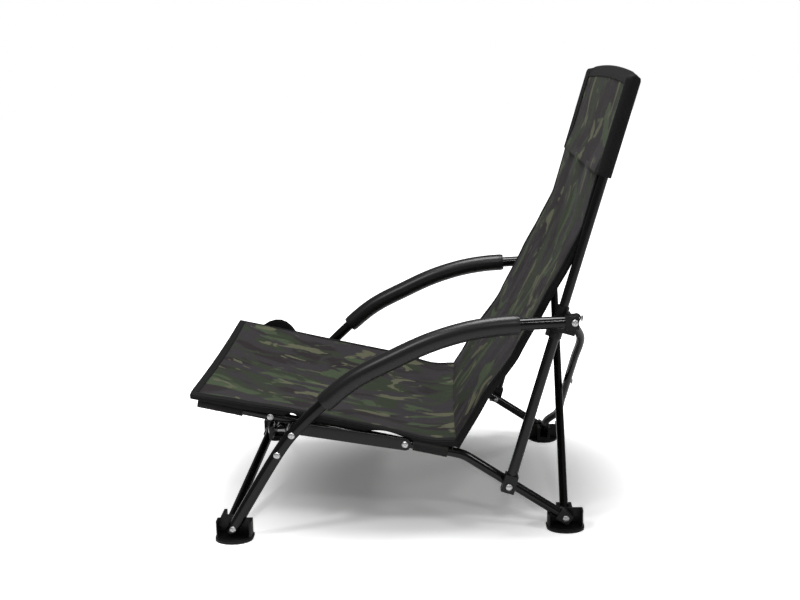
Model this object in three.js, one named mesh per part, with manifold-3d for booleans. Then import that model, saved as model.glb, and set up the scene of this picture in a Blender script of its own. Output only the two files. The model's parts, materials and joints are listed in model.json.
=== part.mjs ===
// Folding low fishing chair with armrests: two side frames, joined by a front and a rear pair of
// crossed braces, carry a fabric seat, a fabric back and a head pocket.
// Units are millimetres. +Z is up, +X is the sitter's left and the chair faces -Y.
// The origin is on the floor, under the middle of the chair.

import * as THREE from 'three';
import { mergeVertices } from 'three/addons/utils/BufferGeometryUtils.js';
import Module from 'manifold-3d';

const wasm = await Module();
wasm.setup();
const { Manifold, Mesh: SolidMesh } = wasm;

// Side frame lines, seen from the left
const frontPinY = -325;
const frontPinZ = 23;
const rearPinY = 288;
const rearPinZ = 23;
const legPitchDegrees = 33.2;
const seatPitchDegrees = 12.3;
const legLength = 225;
const seatRailLength = 498;
const railBendRadius = 70;
const uprightPinReach = 127;
const uprightLeanDegrees = 16.2;
const linkPinReach = 110;
const kneeLinkGap = 47.44;

// Layers from the middle of the chair outwards
const railX = 266;
const layerGap = 0.6;
const runningGap = 0.3;
const pinGap = 0.25;

// Tubes
const armDiameter = 22;
const railDiameter = 18;
const lowerDiameter = 19;
const upperDiameter = 16.8;
const frontBraceDiameter = 18;
const rearBraceDiameter = 16;
const wall = 1.2;
const lowerWall = 0.8;
const tubeSides = 12;
const boreSides = 10;

// Rivets
const pinDiameter = 6;
const headDiameter = 12.5;
const headHeight = 3;
const pinSides = 10;

// Flat link bar
const linkWidth = 23;
const linkThickness = 4;
const bushDiameter = 14;

// Arm
const armPinRise = 332;
const armPinSet = 22;
const armOverhang = 6;
const footOverhang = 9;
const gripDiameter = 36;
const gripRoom = 1.4;
const gripLinkGap = 82;
const gripPinGap = 95.3;
const gripSamples = 20;
const armLineShares = [
  [0.140, 0.372], [0.185, 0.469], [0.279, 0.617], [0.370, 0.735], [0.485, 0.831],
  [0.589, 0.907], [0.689, 0.957], [0.770, 0.980], [0.842, 0.989],
];
const stopRivetShare = 0.372;
const linkRivetShare = 0.469;
const armPlugLength = 24;

// Upright
const collarRise = 302;
const collarHeight = 13;
const collarDiameter = 25;
const telescopeDepth = 42;
const upperTop = 762;
const footPlugSize = 24;
const footPlugLength = 34;
const plugWall = 1;
const legPlugLength = 26;

// Slider
const sliderHeight = 46;
const sliderWall = 3.4;
const sliderFlareShare = 0.72;
const lugWidth = 20;

// Feet
const footLength = 66;
const footHeight = 35;
const footBulge = 25;
const footBase = 7;
const flange = 2;
const soleSteps = 10;
const ribWidth = 3.6;
const legRoom = 2.6;
const footWall = 5;
const cheekWidth = 6;
const braceRoom = 0.7;
const braceEndRoom = 4;
const footPinZ = 25;

// Crossed braces
const braceOffset = 9.9;
const braceOverhang = 4.5;
const braceSeat = 7;
const rearFoldRoom = 2.8;
const kneeDrop = 28;
const kneeFoldRoom = 3;
const kneeForward = 8;
const kneeWidth = 24;
const kneeCheek = 6;
const kneeWaistShare = 0.62;
const rearTopRise = 325;
const rearTopSet = 36;
const rearPinInset = 30;
const frontPinInset = 2.7;
const bowDepth = 18.5;
const bowSteps = 15;
const bowShares = [[0.05, 0], [0.11, 0], [0.2, 0.96], [0.34, 1], [0.5, 1], [0.7, 1], [0.86, 0.98], [0.95, 0.05]];

// Fabric
const clothThickness = 2.6;
const seatFront = 12;
const seatOverhang = 15;
const seatSag = 17;
const edgeLift = 4;
const sleeveThickness = 2.2;
const sleeveRoom = 0.8;
const frontSleeveShare = 0.677;
const rearSleeveLength = 64;
const rearSleeveReach = 30;
const creaseReach = 24;
const creaseRise = 40;
const creaseOverhang = 6;
const sagStartShare = 0.14;
const droopShare = 0.55;
const seatFoldDepth = 2.5;
const seatFolds = 5;
const seatFoldShares = [0.7, 1];
const backStandOff = 106;
const backLineShares = [[0, 1], [0.18, 0.77], [0.36, 0.46], [0.56, 0.25], [0.70, 0.11], [0.82, 0], [1, 0]];
const backEaseShare = 0.3;
const backFlareShare = 0.8;
const backSag = 8;
const backFoldDepth = 3;
const backFolds = 5;
const backFoldShares = [0.1, 0.5];
const pocketBottom = 594;
const pocketTop = 768;
const pocketSlim = 6.5;
const pocketArch = 9;
const pocketFlatShare = 0.8;
const pocketRoom = 0.6;
const sidePocketShare = 0.7;
const sidePocketDrop = 130;
const sidePocketDepth = 16;
const sidePocketLift = 40;
const sidePocketSteps = 8;
const sidePocketStart = 18;
const sidePocketSlantShare = 0.08;

const radians = THREE.MathUtils.degToRad;
const cutOver = 40;
const weld = 1e-4;

// Materials
const colours = {
  frame: 0x17171a, foam: 0x2c2b2c, plastic: 0x131314, rivet: 0xc9c9c9,
  camo: 0x3f4434, mesh: 0x1a1a1b,
};

const finish = (colour, roughness, metalness) =>
  new THREE.MeshStandardMaterial({ color: colour, roughness, metalness });

const finishes = {
  frame: () => finish(colours.frame, 0.38, 0.2),
  foam: () => finish(colours.foam, 0.95, 0),
  plastic: () => finish(colours.plastic, 0.5, 0),
  rivet: () => finish(colours.rivet, 0.3, 0.9),
  camo: () => finish(colours.camo, 0.9, 0),
  mesh: () => finish(colours.mesh, 0.9, 0),
};

// Points and lines in a side plane. A side point is a Vector3 whose x is zero.
const side = (y, z) => new THREE.Vector3(0, y, z);
const direction = (degrees) => side(Math.cos(radians(degrees)), Math.sin(radians(degrees)));
const along = (start, way, distance) => start.clone().addScaledVector(way, distance);
const withX = (x, point) => new THREE.Vector3(x, point.y, point.z);
const halfTurn = 180;
const rightAngle = 90;

const frontPin = side(frontPinY, frontPinZ);
const rearPin = side(rearPinY, rearPinZ);
const legWay = direction(halfTurn - legPitchDegrees);
const seatWay = direction(halfTurn - seatPitchDegrees);
const railBend = along(rearPin, legWay, legLength);
const railEnd = along(railBend, seatWay, seatRailLength);
const uprightPin = along(rearPin, legWay, uprightPinReach);
const linkRailPin = along(railBend, seatWay, linkPinReach);
const uprightWay = direction(rightAngle - uprightLeanDegrees);
const rearward = direction(-uprightLeanDegrees);
const onUpright = (rise, set = 0) => along(along(uprightPin, uprightWay, rise), rearward, set);
const armPin = onUpright(armPinRise, armPinSet);

// The arm's own pins. The knee stands a set distance in front of the link's front pin.
const armPoint = ([reachShare, riseShare]) => side(
  THREE.MathUtils.lerp(frontPin.y, armPin.y, reachShare),
  THREE.MathUtils.lerp(frontPin.z, armPin.z, riseShare),
);
const armRivet = (share) => armPoint(armLineShares.find((pair) => pair[1] === share));
const stopPin = armRivet(stopRivetShare);
const linkArmPin = armRivet(linkRivetShare);
const armWay = armPoint(armLineShares[0]).sub(frontPin).normalize();
const linkFrontReach = linkArmPin.clone().sub(railBend).dot(seatWay);
const bracePinReach = linkFrontReach + kneeLinkGap;
const braceRailPin = along(railBend, seatWay, bracePinReach);

const railOuter = railX + railDiameter / 2;
const frontPinX = railX - frontPinInset;
const rearPinX = railX - rearPinInset;
const creaseHalfWidth = railX + creaseOverhang;
const linkX = railOuter + layerGap + linkThickness / 2;
const wallRoom = runningGap + runningGap + plugWall + plugWall;
const plugWidth = lowerDiameter + wallRoom;
const uprightX = railOuter + layerGap + plugWidth / 2;
const sliderRadius = upperDiameter / 2 + pinGap + sliderWall;
const armX = uprightX + sliderRadius + layerGap + (armDiameter + wallRoom) / 2;

// Solids
const toSolid = (geometry) => {
  const plain = geometry.clone();
  plain.deleteAttribute('normal');
  plain.deleteAttribute('uv');
  const merged = mergeVertices(plain, weld);
  return new Manifold(new SolidMesh({
    numProp: 3,
    vertProperties: Float32Array.from(merged.attributes.position.array),
    triVerts: Uint32Array.from(merged.index.array),
  }));
};

const toGeometry = (solid) => {
  const result = solid.getMesh();
  const geometry = new THREE.BufferGeometry();
  geometry.setAttribute('position', new THREE.BufferAttribute(result.vertProperties, 3));
  geometry.setIndex(new THREE.BufferAttribute(result.triVerts, 1));
  const faceted = geometry.toNonIndexed();
  faceted.computeVertexNormals();
  return faceted;
};

const subtract = (geometry, cutters) =>
  toGeometry(cutters.reduce((left, cutter) => left.subtract(toSolid(cutter)), toSolid(geometry)));

const join = (geometries) =>
  toGeometry(geometries.map(toSolid).reduce((whole, next) => whole.add(next)));

const mirrored = (geometry) => {
  const copy = geometry.index ? geometry.toNonIndexed() : geometry.clone();
  const place = copy.attributes.position;
  for (let corner = 0; corner < place.count; corner += 3) {
    const [a, b, c] = [0, 1, 2].map((step) => new THREE.Vector3().fromBufferAttribute(place, corner + step));
    [a, c, b].forEach((point, step) => place.setXYZ(corner + step, -point.x, point.y, point.z));
  }
  copy.computeVertexNormals();
  return copy;
};

// A round bar or bore whose axis runs through a point
const rod = (centre, way, diameter, length, sides = boreSides) => {
  const geometry = new THREE.CylinderGeometry(diameter / 2, diameter / 2, length, sides);
  const turn = new THREE.Quaternion().setFromUnitVectors(new THREE.Vector3(0, 1, 0), way.clone().normalize());
  return geometry.applyQuaternion(turn).translate(centre.x, centre.y, centre.z);
};

const acrossWay = new THREE.Vector3(1, 0, 0);
const crossBore = (point, length) => rod(point, acrossWay, pinDiameter + pinGap + pinGap, length);

// A tube along a curve, open at both ends
const ringShape = (diameter, thickness) => {
  const shape = new THREE.Shape();
  shape.absarc(0, 0, diameter / 2, 0, Math.PI + Math.PI);
  const hole = new THREE.Path();
  hole.absarc(0, 0, diameter / 2 - thickness, 0, Math.PI + Math.PI, true);
  shape.holes.push(hole);
  return shape;
};

const tube = (curve, diameter, thickness, steps, sides = tubeSides) =>
  new THREE.ExtrudeGeometry(ringShape(diameter, thickness), {
    steps, curveSegments: sides / 2, bevelEnabled: false, extrudePath: curve,
  });

const straight = (start, end) => new THREE.LineCurve3(start, end);

// A box turned about X, given by its middle, its size and the way its height runs in the side plane
const tiltedBox = (centre, size, heightWay) => {
  const tilt = Math.atan2(heightWay.z, heightWay.y) - Math.PI / 2;
  return new THREE.BoxGeometry(size.x, size.y, size.z).rotateX(tilt).translate(centre.x, centre.y, centre.z);
};

// Seat rail and rear leg, one bent tube
const bentRail = () => {
  const turn = radians((legPitchDegrees - seatPitchDegrees) / 2);
  const run = railBendRadius * Math.tan(turn);
  const path = new THREE.CurvePath();
  const legStart = along(rearPin, legWay, -footOverhang);
  const bendStart = along(railBend, legWay, -run);
  const bendEnd = along(railBend, seatWay, run);
  path.add(straight(legStart, bendStart));
  path.add(new THREE.QuadraticBezierCurve3(bendStart, railBend.clone(), bendEnd));
  path.add(straight(bendEnd, railEnd));
  return path;
};

const railSteps = 12;

const seatRail = () => {
  const pins = [rearPin, uprightPin, linkRailPin, braceRailPin];
  const bores = pins.map((pin) => crossBore(pin, railDiameter + cutOver));
  return subtract(tube(bentRail(), railDiameter, wall, railSteps), bores);
};

// Arm and front leg, one bent tube
const armLine = () => {
  const points = [frontPin, ...armLineShares.map(armPoint), armPin];
  const legSlope = points[1].clone().sub(points[0]).normalize();
  const rearSlope = points.at(-1).clone().sub(points.at(-2)).normalize();
  const start = along(frontPin, legSlope, -footOverhang);
  const end = along(armPin, rearSlope, armOverhang);
  return new THREE.CatmullRomCurve3([start, ...points, end], false, 'centripetal');
};

const armSteps = 18;

const armTube = () => {
  const bores = [frontPin, stopPin, linkArmPin, armPin].map((pin) => crossBore(pin, armDiameter + cutOver));
  return subtract(tube(armLine(), armDiameter, wall, armSteps), bores);
};

// Part of a curve, by shares of its length
class PartCurve extends THREE.Curve {
  constructor(whole, from, to) {
    super();
    Object.assign(this, { whole, from, to });
  }

  getPoint(t, target = new THREE.Vector3()) {
    return target.copy(this.whole.getPointAt(THREE.MathUtils.lerp(this.from, this.to, t)));
  }
}

const gripSteps = 11;

// The grip's ends, as shares of the arm's length: it starts past the link's pin and ends before the
// arm's rear pin
const gripEndShares = () => {
  const curve = armLine();
  const spans = curve.points.length - 1;
  const lengths = curve.getLengths(spans * gripSamples);
  const whole = lengths.at(-1);
  const linkIndex = curve.points.findIndex((point) => point.distanceTo(linkArmPin) < weld);
  const linkLength = lengths[linkIndex * gripSamples];
  return [(linkLength + gripLinkGap) / whole, (whole - armOverhang - gripPinGap) / whole];
};

const armGrip = () => {
  const gripWall = (gripDiameter - armDiameter) / 2 - gripRoom;
  return tube(new PartCurve(armLine(), ...gripEndShares()), gripDiameter, gripWall, gripSteps, tubeSides);
};

// Squared cap on the arm's rear end
const armPlug = () => {
  const curve = armLine();
  const way = curve.getTangent(1).normalize();
  const [shell, room] = squarePlug(curve.getPoint(1), way, armDiameter, armDiameter + wallRoom, armPlugLength);
  return subtract(shell, [room, crossBore(armPin, armDiameter + cutOver)]);
};

// Flat link bar
const linkBar = () => {
  const way = linkRailPin.clone().sub(linkArmPin);
  const length = way.length();
  const radius = linkWidth / 2;
  const shape = new THREE.Shape();
  shape.absarc(0, 0, radius, Math.PI / 2, Math.PI + Math.PI / 2);
  shape.absarc(length, 0, radius, -Math.PI / 2, Math.PI / 2);
  const bar = new THREE.ExtrudeGeometry(shape, {
    depth: linkThickness, bevelEnabled: false, curveSegments: boreSides / 2,
  });
  bar.rotateY(Math.PI / 2).rotateX(Math.PI / 2);
  const flatTurn = Math.atan2(way.z, way.y);
  bar.rotateX(flatTurn);
  bar.translate(linkX - linkThickness / 2, linkArmPin.y, linkArmPin.z);
  const bores = [linkArmPin, linkRailPin].map((pin) => crossBore(withX(linkX, pin), cutOver + cutOver));
  return subtract(bar, bores);
};

// Upright: a thick lower tube, a thin upper tube that stands in it, a stop collar and a foot plug
const plugEnd = footPlugSize / 2;

// Squared plug round a tube's end, open towards the tube
const squarePlug = (end, way, diameter, width, length) => {
  const centre = along(end, way, plugWall + runningGap - length / 2);
  const shell = tiltedBox(centre, new THREE.Vector3(diameter + wallRoom, width, length), way);
  const room = rod(along(end, way, runningGap - length / 2), way,
    diameter + runningGap + runningGap, length, tubeSides);
  return [shell, room];
};

const lowerUpright = () => {
  const body = tube(straight(onUpright(-plugEnd + wall), onUpright(collarRise)), lowerDiameter, lowerWall, 1);
  return subtract(body, [crossBore(uprightPin, cutOver)]);
};

const upperUpright = () =>
  tube(straight(onUpright(collarRise - telescopeDepth), onUpright(upperTop)), upperDiameter, wall, 1);

const footPlug = () => {
  const end = onUpright(-plugEnd + wall);
  const [shell, room] = squarePlug(end, uprightWay.clone().negate(), lowerDiameter, footPlugSize, footPlugLength);
  return subtract(shell, [room, crossBore(uprightPin, cutOver)]);
};

const legPlug = () => {
  const end = along(rearPin, legWay, -footOverhang);
  const [shell, room] = squarePlug(end, legWay.clone().negate(), railDiameter,
    railDiameter + wallRoom, legPlugLength);
  return subtract(shell, [room, crossBore(rearPin, cutOver)]);
};

// Collar: it grips the lower tube and the slider stands on its top
const collarNeck = () => (lowerDiameter + collarDiameter) / 2;

const stopCollar = () => {
  const middle = onUpright(collarRise + wall - collarHeight / 2);
  const body = rod(middle, uprightWay, collarDiameter, collarHeight, tubeSides);
  const nose = tiltedBox(
    along(middle, rearward, -collarNeck() / 2),
    new THREE.Vector3(lowerDiameter / 2, collarDiameter / 2, collarHeight - wall), uprightWay,
  );
  const rivetBoss = rod(withX(collarDiameter / 2, middle), acrossWay, headDiameter * sliderFlareShare, headHeight);
  const lowerRoom = rod(onUpright(collarRise - collarHeight), uprightWay,
    lowerDiameter + runningGap + runningGap, collarHeight + collarHeight, tubeSides);
  const upperRoom = rod(onUpright(collarRise), uprightWay,
    upperDiameter + runningGap + runningGap, collarHeight + collarHeight, tubeSides);
  return subtract(join([body, nose, rivetBoss]), [lowerRoom, upperRoom]);
};

// Crossed braces. Each turns on pins that run along a pivot way, through its foot, its middle and its
// top. The front pins lie level, so that the front feet stay flat as the chair folds. The front
// braces lean a little from them, which `lean` gives per unit of a brace's length.
const bracePlane = (foot, top, halfWidth, pivot) => {
  const rise = top.clone().sub(foot);
  const span = new THREE.Vector2(halfWidth + halfWidth, rise.length()).length();
  return {
    foot,
    pivot,
    way: rise.clone().normalize(),
    face: side(-pivot.z, pivot.y),
    rise: rise.length(),
    lean: rise.dot(pivot) / span,
  };
};

const squareTo = (foot, top) => {
  const way = top.clone().sub(foot).normalize();
  return side(way.z, -way.y);
};

const kneePin = along(along(braceRailPin, seatWay, -kneeForward), side(0, -1), kneeDrop);
const rearTop = onUpright(rearTopRise, rearTopSet);
const frontBracePin = side(frontPin.y, footPinZ);
const rearBracePin = side(rearPin.y, footPinZ);
const frontPlane = bracePlane(frontBracePin, kneePin, frontPinX, side(1, 0));
const rearPlane = bracePlane(rearBracePin, rearTop, rearPinX, squareTo(rearBracePin, rearTop));

const inPlane = (plane, x, rise, offset = 0) =>
  along(along(plane.foot, plane.way, rise), plane.pivot, offset).setX(x);

const planeBore = (plane, point, length) => rod(point, plane.pivot, pinDiameter + pinGap + pinGap, length);

// How far a brace's end reaches from its pin, and the sideways room that its lean takes up to the
// foot's top
const cornerReach = (diameter) => (diameter / 2) * Math.SQRT2 + braceRoom;
const leanRoom = (plane, diameter) => (footHeight - footPinZ + diameter / 2) * plane.lean;
const slotWidth = (plane, diameter) =>
  diameter + braceRoom + leanRoom(plane, diameter) + leanRoom(plane, diameter);

const middleShare = 0.5;

// A brace from the foot on one hand to the top pin on the other, with its foot pin fixed in it
const brace = (plane, halfWidth, hand, diameter, offset, bow = 0) => {
  const place = (share, sideways) =>
    inPlane(plane, hand * halfWidth * (1 - share - share), plane.rise * share, sideways);
  const [foot, top] = [place(0, offset), place(1, offset)];
  const way = top.clone().sub(foot).normalize();
  const ends = [along(foot, way, -diameter / 2), along(top, way, braceOverhang)];
  const bowed = bowShares.map(([share, depthShare]) => place(share, offset + bow * depthShare));
  const curve = bow
    ? new THREE.CatmullRomCurve3([ends[0], foot, ...bowed, top, ends[1]], false, 'centripetal')
    : straight(...ends);
  const body = tube(curve, diameter, wall, bow ? bowSteps : 1);
  const bores = [planeBore(plane, place(middleShare, offset + bow), diameter + cutOver / 2),
    planeBore(plane, top, diameter + cutOver / 2)];
  const pin = rod(foot, plane.pivot, pinDiameter, slotWidth(plane, diameter) + cheekWidth + cheekWidth);
  return join([subtract(body, bores), pin]);
};

// The middle of the plate that a brace's end lies on, measured from the brace's axis
const seatOffset = (diameter, room) => diameter / 2 + runningGap + room + braceSeat / 2;

// Slider on the upper tube. It flares down to the arm pin and holds the rear brace on an inner lug.
const sliderBottom = collarRise + wall + runningGap;

const slider = () => {
  const neck = sliderRadius - sliderWall * (1 - sliderFlareShare);
  const skirtHeight = sliderHeight * sliderFlareShare;
  const skirt = new THREE.CylinderGeometry(neck, sliderRadius, sliderHeight, tubeSides);
  const turn = new THREE.Quaternion().setFromUnitVectors(new THREE.Vector3(0, 1, 0), uprightWay);
  const middle = onUpright(sliderBottom + sliderHeight / 2);
  skirt.applyQuaternion(turn).translate(0, middle.y, middle.z);
  const width = sliderRadius + sliderRadius;
  const armLug = tiltedBox(
    onUpright(sliderBottom + skirtHeight / 2, (armPinSet + lugWidth / 2) / 2),
    new THREE.Vector3(width, armPinSet + lugWidth / 2, skirtHeight), uprightWay,
  );
  const reach = uprightX - rearPinX + lugWidth / 2;
  const plate = tiltedBox(
    inPlane(rearPlane, (sliderRadius - reach) / 2, rearPlane.rise, -seatOffset(rearBraceDiameter, rearFoldRoom)),
    new THREE.Vector3(reach + sliderRadius, braceSeat, lugWidth), rearPlane.way,
  );
  const bore = rod(middle, uprightWay, upperDiameter + pinGap + pinGap, sliderHeight + cutOver,
    tubeSides);
  return subtract(join([skirt, armLug, plate]), [bore, crossBore(armPin, cutOver)]);
};

// Saddle under the seat rail that holds the top of a front brace in front of it, in the rail's layer
const plateWidth = kneeWidth + kneeForward;
const plateSet = (offset) =>
  offset - frontBraceDiameter / 2 - runningGap - plateWidth * frontPlane.lean;

const knee = (offset) => {
  const innerFace = -railDiameter / 2 - runningGap;
  const plateFace = kneePin.y + plateSet(offset);
  const front = Math.min(plateFace - braceSeat, braceRailPin.y - kneeWidth / 2);
  const back = Math.max(kneePin.y + offset + frontBraceDiameter / 2, braceRailPin.y + kneeWidth / 2);
  const top = braceRailPin.z + headDiameter / 2 * tailShare;
  const bottom = kneePin.z - kneeWidth / 2;
  const outline = new THREE.Shape();
  outline.moveTo(front, top);
  outline.lineTo(back, top);
  outline.lineTo(THREE.MathUtils.lerp(front, back, kneeWaistShare), bottom);
  outline.lineTo(plateFace - braceSeat, bottom);
  const cheek = new THREE.ExtrudeGeometry(outline, { depth: kneeCheek, bevelEnabled: false })
    .rotateX(Math.PI / 2).rotateZ(Math.PI / 2).translate(innerFace - kneeCheek, 0, 0);
  const plate = new THREE.BoxGeometry(plateWidth, braceSeat, kneeWidth)
    .translate(frontPinX - railX, plateFace - braceSeat / 2, kneePin.z);
  const plateBore = planeBore(frontPlane, kneePin.clone().setX(frontPinX - railX), cutOver + cutOver);
  const slotTop = kneePin.z + cornerReach(frontBraceDiameter) + kneeFoldRoom;
  const slot = new THREE.BoxGeometry(plateWidth + plateWidth, back - plateFace + cutOver, kneeWidth + kneeWidth)
    .translate(0, plateFace + (back - plateFace + cutOver) / 2, slotTop - kneeWidth);
  return subtract(join([cheek, plate]), [slot, plateBore, crossBore(braceRailPin, cutOver + cutOver)]);
};

// Foot: a D-shaped base with a flange, thin ribs beside the leg and a slotted block for the brace
const footOutline = (inset, grow) => {
  const half = footLength / 2 + grow;
  const shape = new THREE.Shape();
  shape.moveTo(-inset - grow, -half);
  shape.lineTo(0, -half);
  shape.absellipse(0, 0, footBulge + grow, half, -Math.PI / 2, Math.PI / 2);
  shape.lineTo(-inset - grow, half);
  shape.closePath();
  return shape;
};

const footShell = (inset) => {
  const slab = (grow, height) => new THREE.ExtrudeGeometry(footOutline(inset, grow), {
    depth: height, bevelEnabled: false, curveSegments: boreSides / 2,
  });
  const openLength = footBulge + flange + inset - footWall;
  const recess = new THREE.BoxGeometry(openLength, footLength - ribWidth - ribWidth, footHeight)
    .translate(openLength / 2 - inset + footWall, 0, footBase + footHeight / 2);
  return [subtract(slab(0, footHeight), [recess]), slab(flange, footBase - flange)];
};

// The round sole under the brace's block
const footSole = (reach) => {
  const shape = new THREE.Shape();
  const half = footLength / 2 + flange;
  shape.moveTo(0, -half);
  shape.absellipse(0, 0, reach, half, -Math.PI / 2, Math.PI / 2, true);
  shape.closePath();
  return new THREE.ExtrudeGeometry(shape, {
    depth: footBase - flange, bevelEnabled: false, curveSegments: soleSteps,
  });
};

const foot = (pin, way, legRadius, plane, pinX, legX, offset, braceDiameter) => {
  const inset = legRadius + legRoom + footWall;
  const seat = inPlane(plane, pinX - legX, 0, offset);
  const blockEnd = seat.x - braceDiameter / 2 - braceEndRoom;
  const corner = cornerReach(braceDiameter);
  const blockStart = -inset + footWall / 2;
  const blockWidth = slotWidth(plane, braceDiameter) + cheekWidth + cheekWidth;
  const block = new THREE.BoxGeometry(blockStart - blockEnd, blockWidth, footHeight)
    .translate((blockStart + blockEnd) / 2, seat.y, footHeight / 2);
  const slotHeight = footHeight + footHeight;
  const slotEnd = seat.x + corner;
  const slotMiddle = along(seat, plane.face, slotHeight / 2 - corner);
  const slot = tiltedBox(slotMiddle.setX(slotEnd - slotHeight / 2),
    new THREE.Vector3(slotHeight, slotWidth(plane, braceDiameter), slotHeight), plane.face);
  const legWidth = legRadius + legRadius + legRoom + legRoom;
  const legSlot = tiltedBox(along(withX(0, pin), way, legRadius + footLength / 2),
    new THREE.Vector3(legWidth, legWidth, footLength), way);
  const bores = [crossBore(withX(0, pin), cutOver), planeBore(plane, seat, cutOver + cutOver)];
  const shell = [...footShell(inset), footSole(flange - blockEnd)].map((piece) => piece.translate(0, pin.y, 0));
  return subtract(join([...shell, block]), [slot, legSlot, ...bores]);
};

// Rivet: a shank with a domed head at +X and, at its inner end, nothing, a small clenched head or a
// long shoulder that keeps two bars apart
const tailShare = 0.72;
const domeShares = [[1, 0], [0.94, 0.42], [0.62, 0.84], [0, 1]];

const rivet = (grip, clenched = true, shoulder = 0) => {
  const shank = pinDiameter / 2;
  const head = headDiameter / 2;
  const tail = head * tailShare;
  const tailEnd = -grip - headHeight / 2;
  const tailed = [[0, tailEnd], [tail, tailEnd], [tail, -grip], [shank, -grip]];
  const wide = bushDiameter / 2;
  const shouldered = [[0, -grip], [wide, -grip], [wide, shoulder - grip], [shank, shoulder - grip]];
  const plain = [[0, -grip], [shank, -grip]];
  const end = clenched ? tailed : (shoulder ? shouldered : plain);
  const profile = [
    ...end,
    [shank, 0],
    ...domeShares.map(([radiusShare, heightShare]) => [head * radiusShare, headHeight * heightShare]),
  ].map(([radius, height]) => new THREE.Vector2(radius, height));
  return new THREE.LatheGeometry(profile, pinSides).rotateZ(-Math.PI / 2);
};

// Cloth as a closed sheet: a grid of points on its middle surface, thickened both ways
const sheet = (columns, rows, pointAt, thickness) => {
  const positions = [];
  const half = thickness / 2;
  const step = 1e-3;
  const normalAt = (u, v) => {
    const [low, high] = [Math.max(u - step, 0), Math.min(u + step, 1)];
    const across = pointAt(high, v).sub(pointAt(low, v));
    const upwards = pointAt(u, v + step).sub(pointAt(u, v - step));
    return across.cross(upwards).normalize();
  };
  for (const face of [half, -half]) {
    for (let row = 0; row <= rows; row += 1) {
      for (let column = 0; column <= columns; column += 1) {
        const [u, v] = [column / columns, row / rows];
        positions.push(...pointAt(u, v).addScaledVector(normalAt(u, v), face).toArray());
      }
    }
  }
  const layer = (columns + 1) * (rows + 1);
  const at = (face, row, column) => face * layer + row * (columns + 1) + column;
  const index = [];
  const quad = (a, b, c, d) => index.push(a, b, c, a, c, d);
  for (let row = 0; row < rows; row += 1) {
    for (let column = 0; column < columns; column += 1) {
      quad(at(0, row, column), at(0, row, column + 1), at(0, row + 1, column + 1), at(0, row + 1, column));
      quad(at(1, row, column), at(1, row + 1, column), at(1, row + 1, column + 1), at(1, row, column + 1));
    }
  }
  for (let column = 0; column < columns; column += 1) {
    quad(at(1, 0, column), at(1, 0, column + 1), at(0, 0, column + 1), at(0, 0, column));
    quad(at(0, rows, column), at(0, rows, column + 1), at(1, rows, column + 1), at(1, rows, column));
  }
  for (let row = 0; row < rows; row += 1) {
    quad(at(0, row, 0), at(0, row + 1, 0), at(1, row + 1, 0), at(1, row, 0));
    quad(at(1, row, columns), at(1, row + 1, columns), at(0, row + 1, columns), at(0, row, columns));
  }
  const geometry = new THREE.BufferGeometry();
  geometry.setAttribute('position', new THREE.Float32BufferAttribute(positions, 3));
  geometry.setIndex(index);
  return geometry;
};

const smooth = (value, from, to) => THREE.MathUtils.smoothstep(value, from, to);
const bulge = (share) => Math.sin(Math.PI * THREE.MathUtils.clamp(share, 0, 1));
const clothColumns = 14;
const clothRows = 16;

// Seat sling: it lies on the two rails, sags between them and carries a sleeve at each corner
const seatStandOff = railDiameter / 2 + sleeveRoom + sleeveThickness;
const seatBack = creaseReach;
const seatReach = seatRailLength + seatFront - seatBack;
const frontSleeveLength = (seatRailLength - bracePinReach - kneeWidth / 2) * frontSleeveShare;
const sleeveEndShare = (frontSleeveLength + seatFront) / seatReach;

// Columns lie closer together towards both edges
const acrossAt = (u) => Math.sin(Math.PI * (u - 0.5));

const seatPoint = (u, v) => {
  const across = acrossAt(THREE.MathUtils.clamp(u, 0, 1));
  const tuck = smooth(v, sleeveEndShare, sleeveEndShare + sleeveEndShare);
  const halfWidth = railX + seatOverhang * (1 - tuck) - edgeLift * tuck;
  const x = across * halfWidth;
  const over = Math.max(0, Math.abs(x) - railX) / seatOverhang;
  const point = along(railBend, seatWay, seatBack + seatReach * (1 - v));
  const span = Math.max(0, 1 - (x / (railX - railDiameter)) ** 2);
  const sag = seatSag * span * Math.sqrt(bulge(v * (1 - sagStartShare) + sagStartShare));
  const lift = edgeLift * bulge((v - sleeveEndShare) / (1 - sleeveEndShare)) * across * across;
  const wave = seatFoldDepth * Math.sin(across * seatFolds * Math.PI) * Math.sqrt(span);
  const droop = seatOverhang * over * over * droopShare;
  point.z += seatStandOff + lift - sag - droop + wave * smooth(v, ...seatFoldShares);
  return point.setX(x);
};

const sleeve = (from, to) => {
  const line = [from, to].map((reach) => along(railBend, seatWay, reach));
  return tube(straight(...line), railDiameter + 2 * (sleeveRoom + sleeveThickness), sleeveThickness, 1);
};

const seatSling = () => {
  const starts = [
    [seatRailLength - frontSleeveLength, seatRailLength],
    [rearSleeveReach, rearSleeveReach + rearSleeveLength],
  ];
  const sleeves = starts.flatMap((span) => [1, -1].map((hand) => sleeve(...span).translate(hand * railX, 0, 0)));
  return join([sheet(clothColumns, clothRows, seatPoint, clothThickness), ...sleeves]);
};

// Back sling: from the crease behind the seat up to the head pocket, in front of the uprights
const backStandOffShare = (share) => {
  const next = Math.max(1, backLineShares.findIndex(([at]) => at >= share));
  const [[from, low], [to, high]] = [backLineShares[next - 1], backLineShares[next]];
  const straightShare = (share - from) / (to - from);
  return THREE.MathUtils.lerp(low, high,
    THREE.MathUtils.lerp(straightShare, smooth(share, from, to), backEaseShare));
};

const backBottom = creaseRise;
const backLength = pocketBottom - clothThickness - backBottom;
const backClear = upperDiameter / 2 + runningGap + clothThickness;

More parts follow.
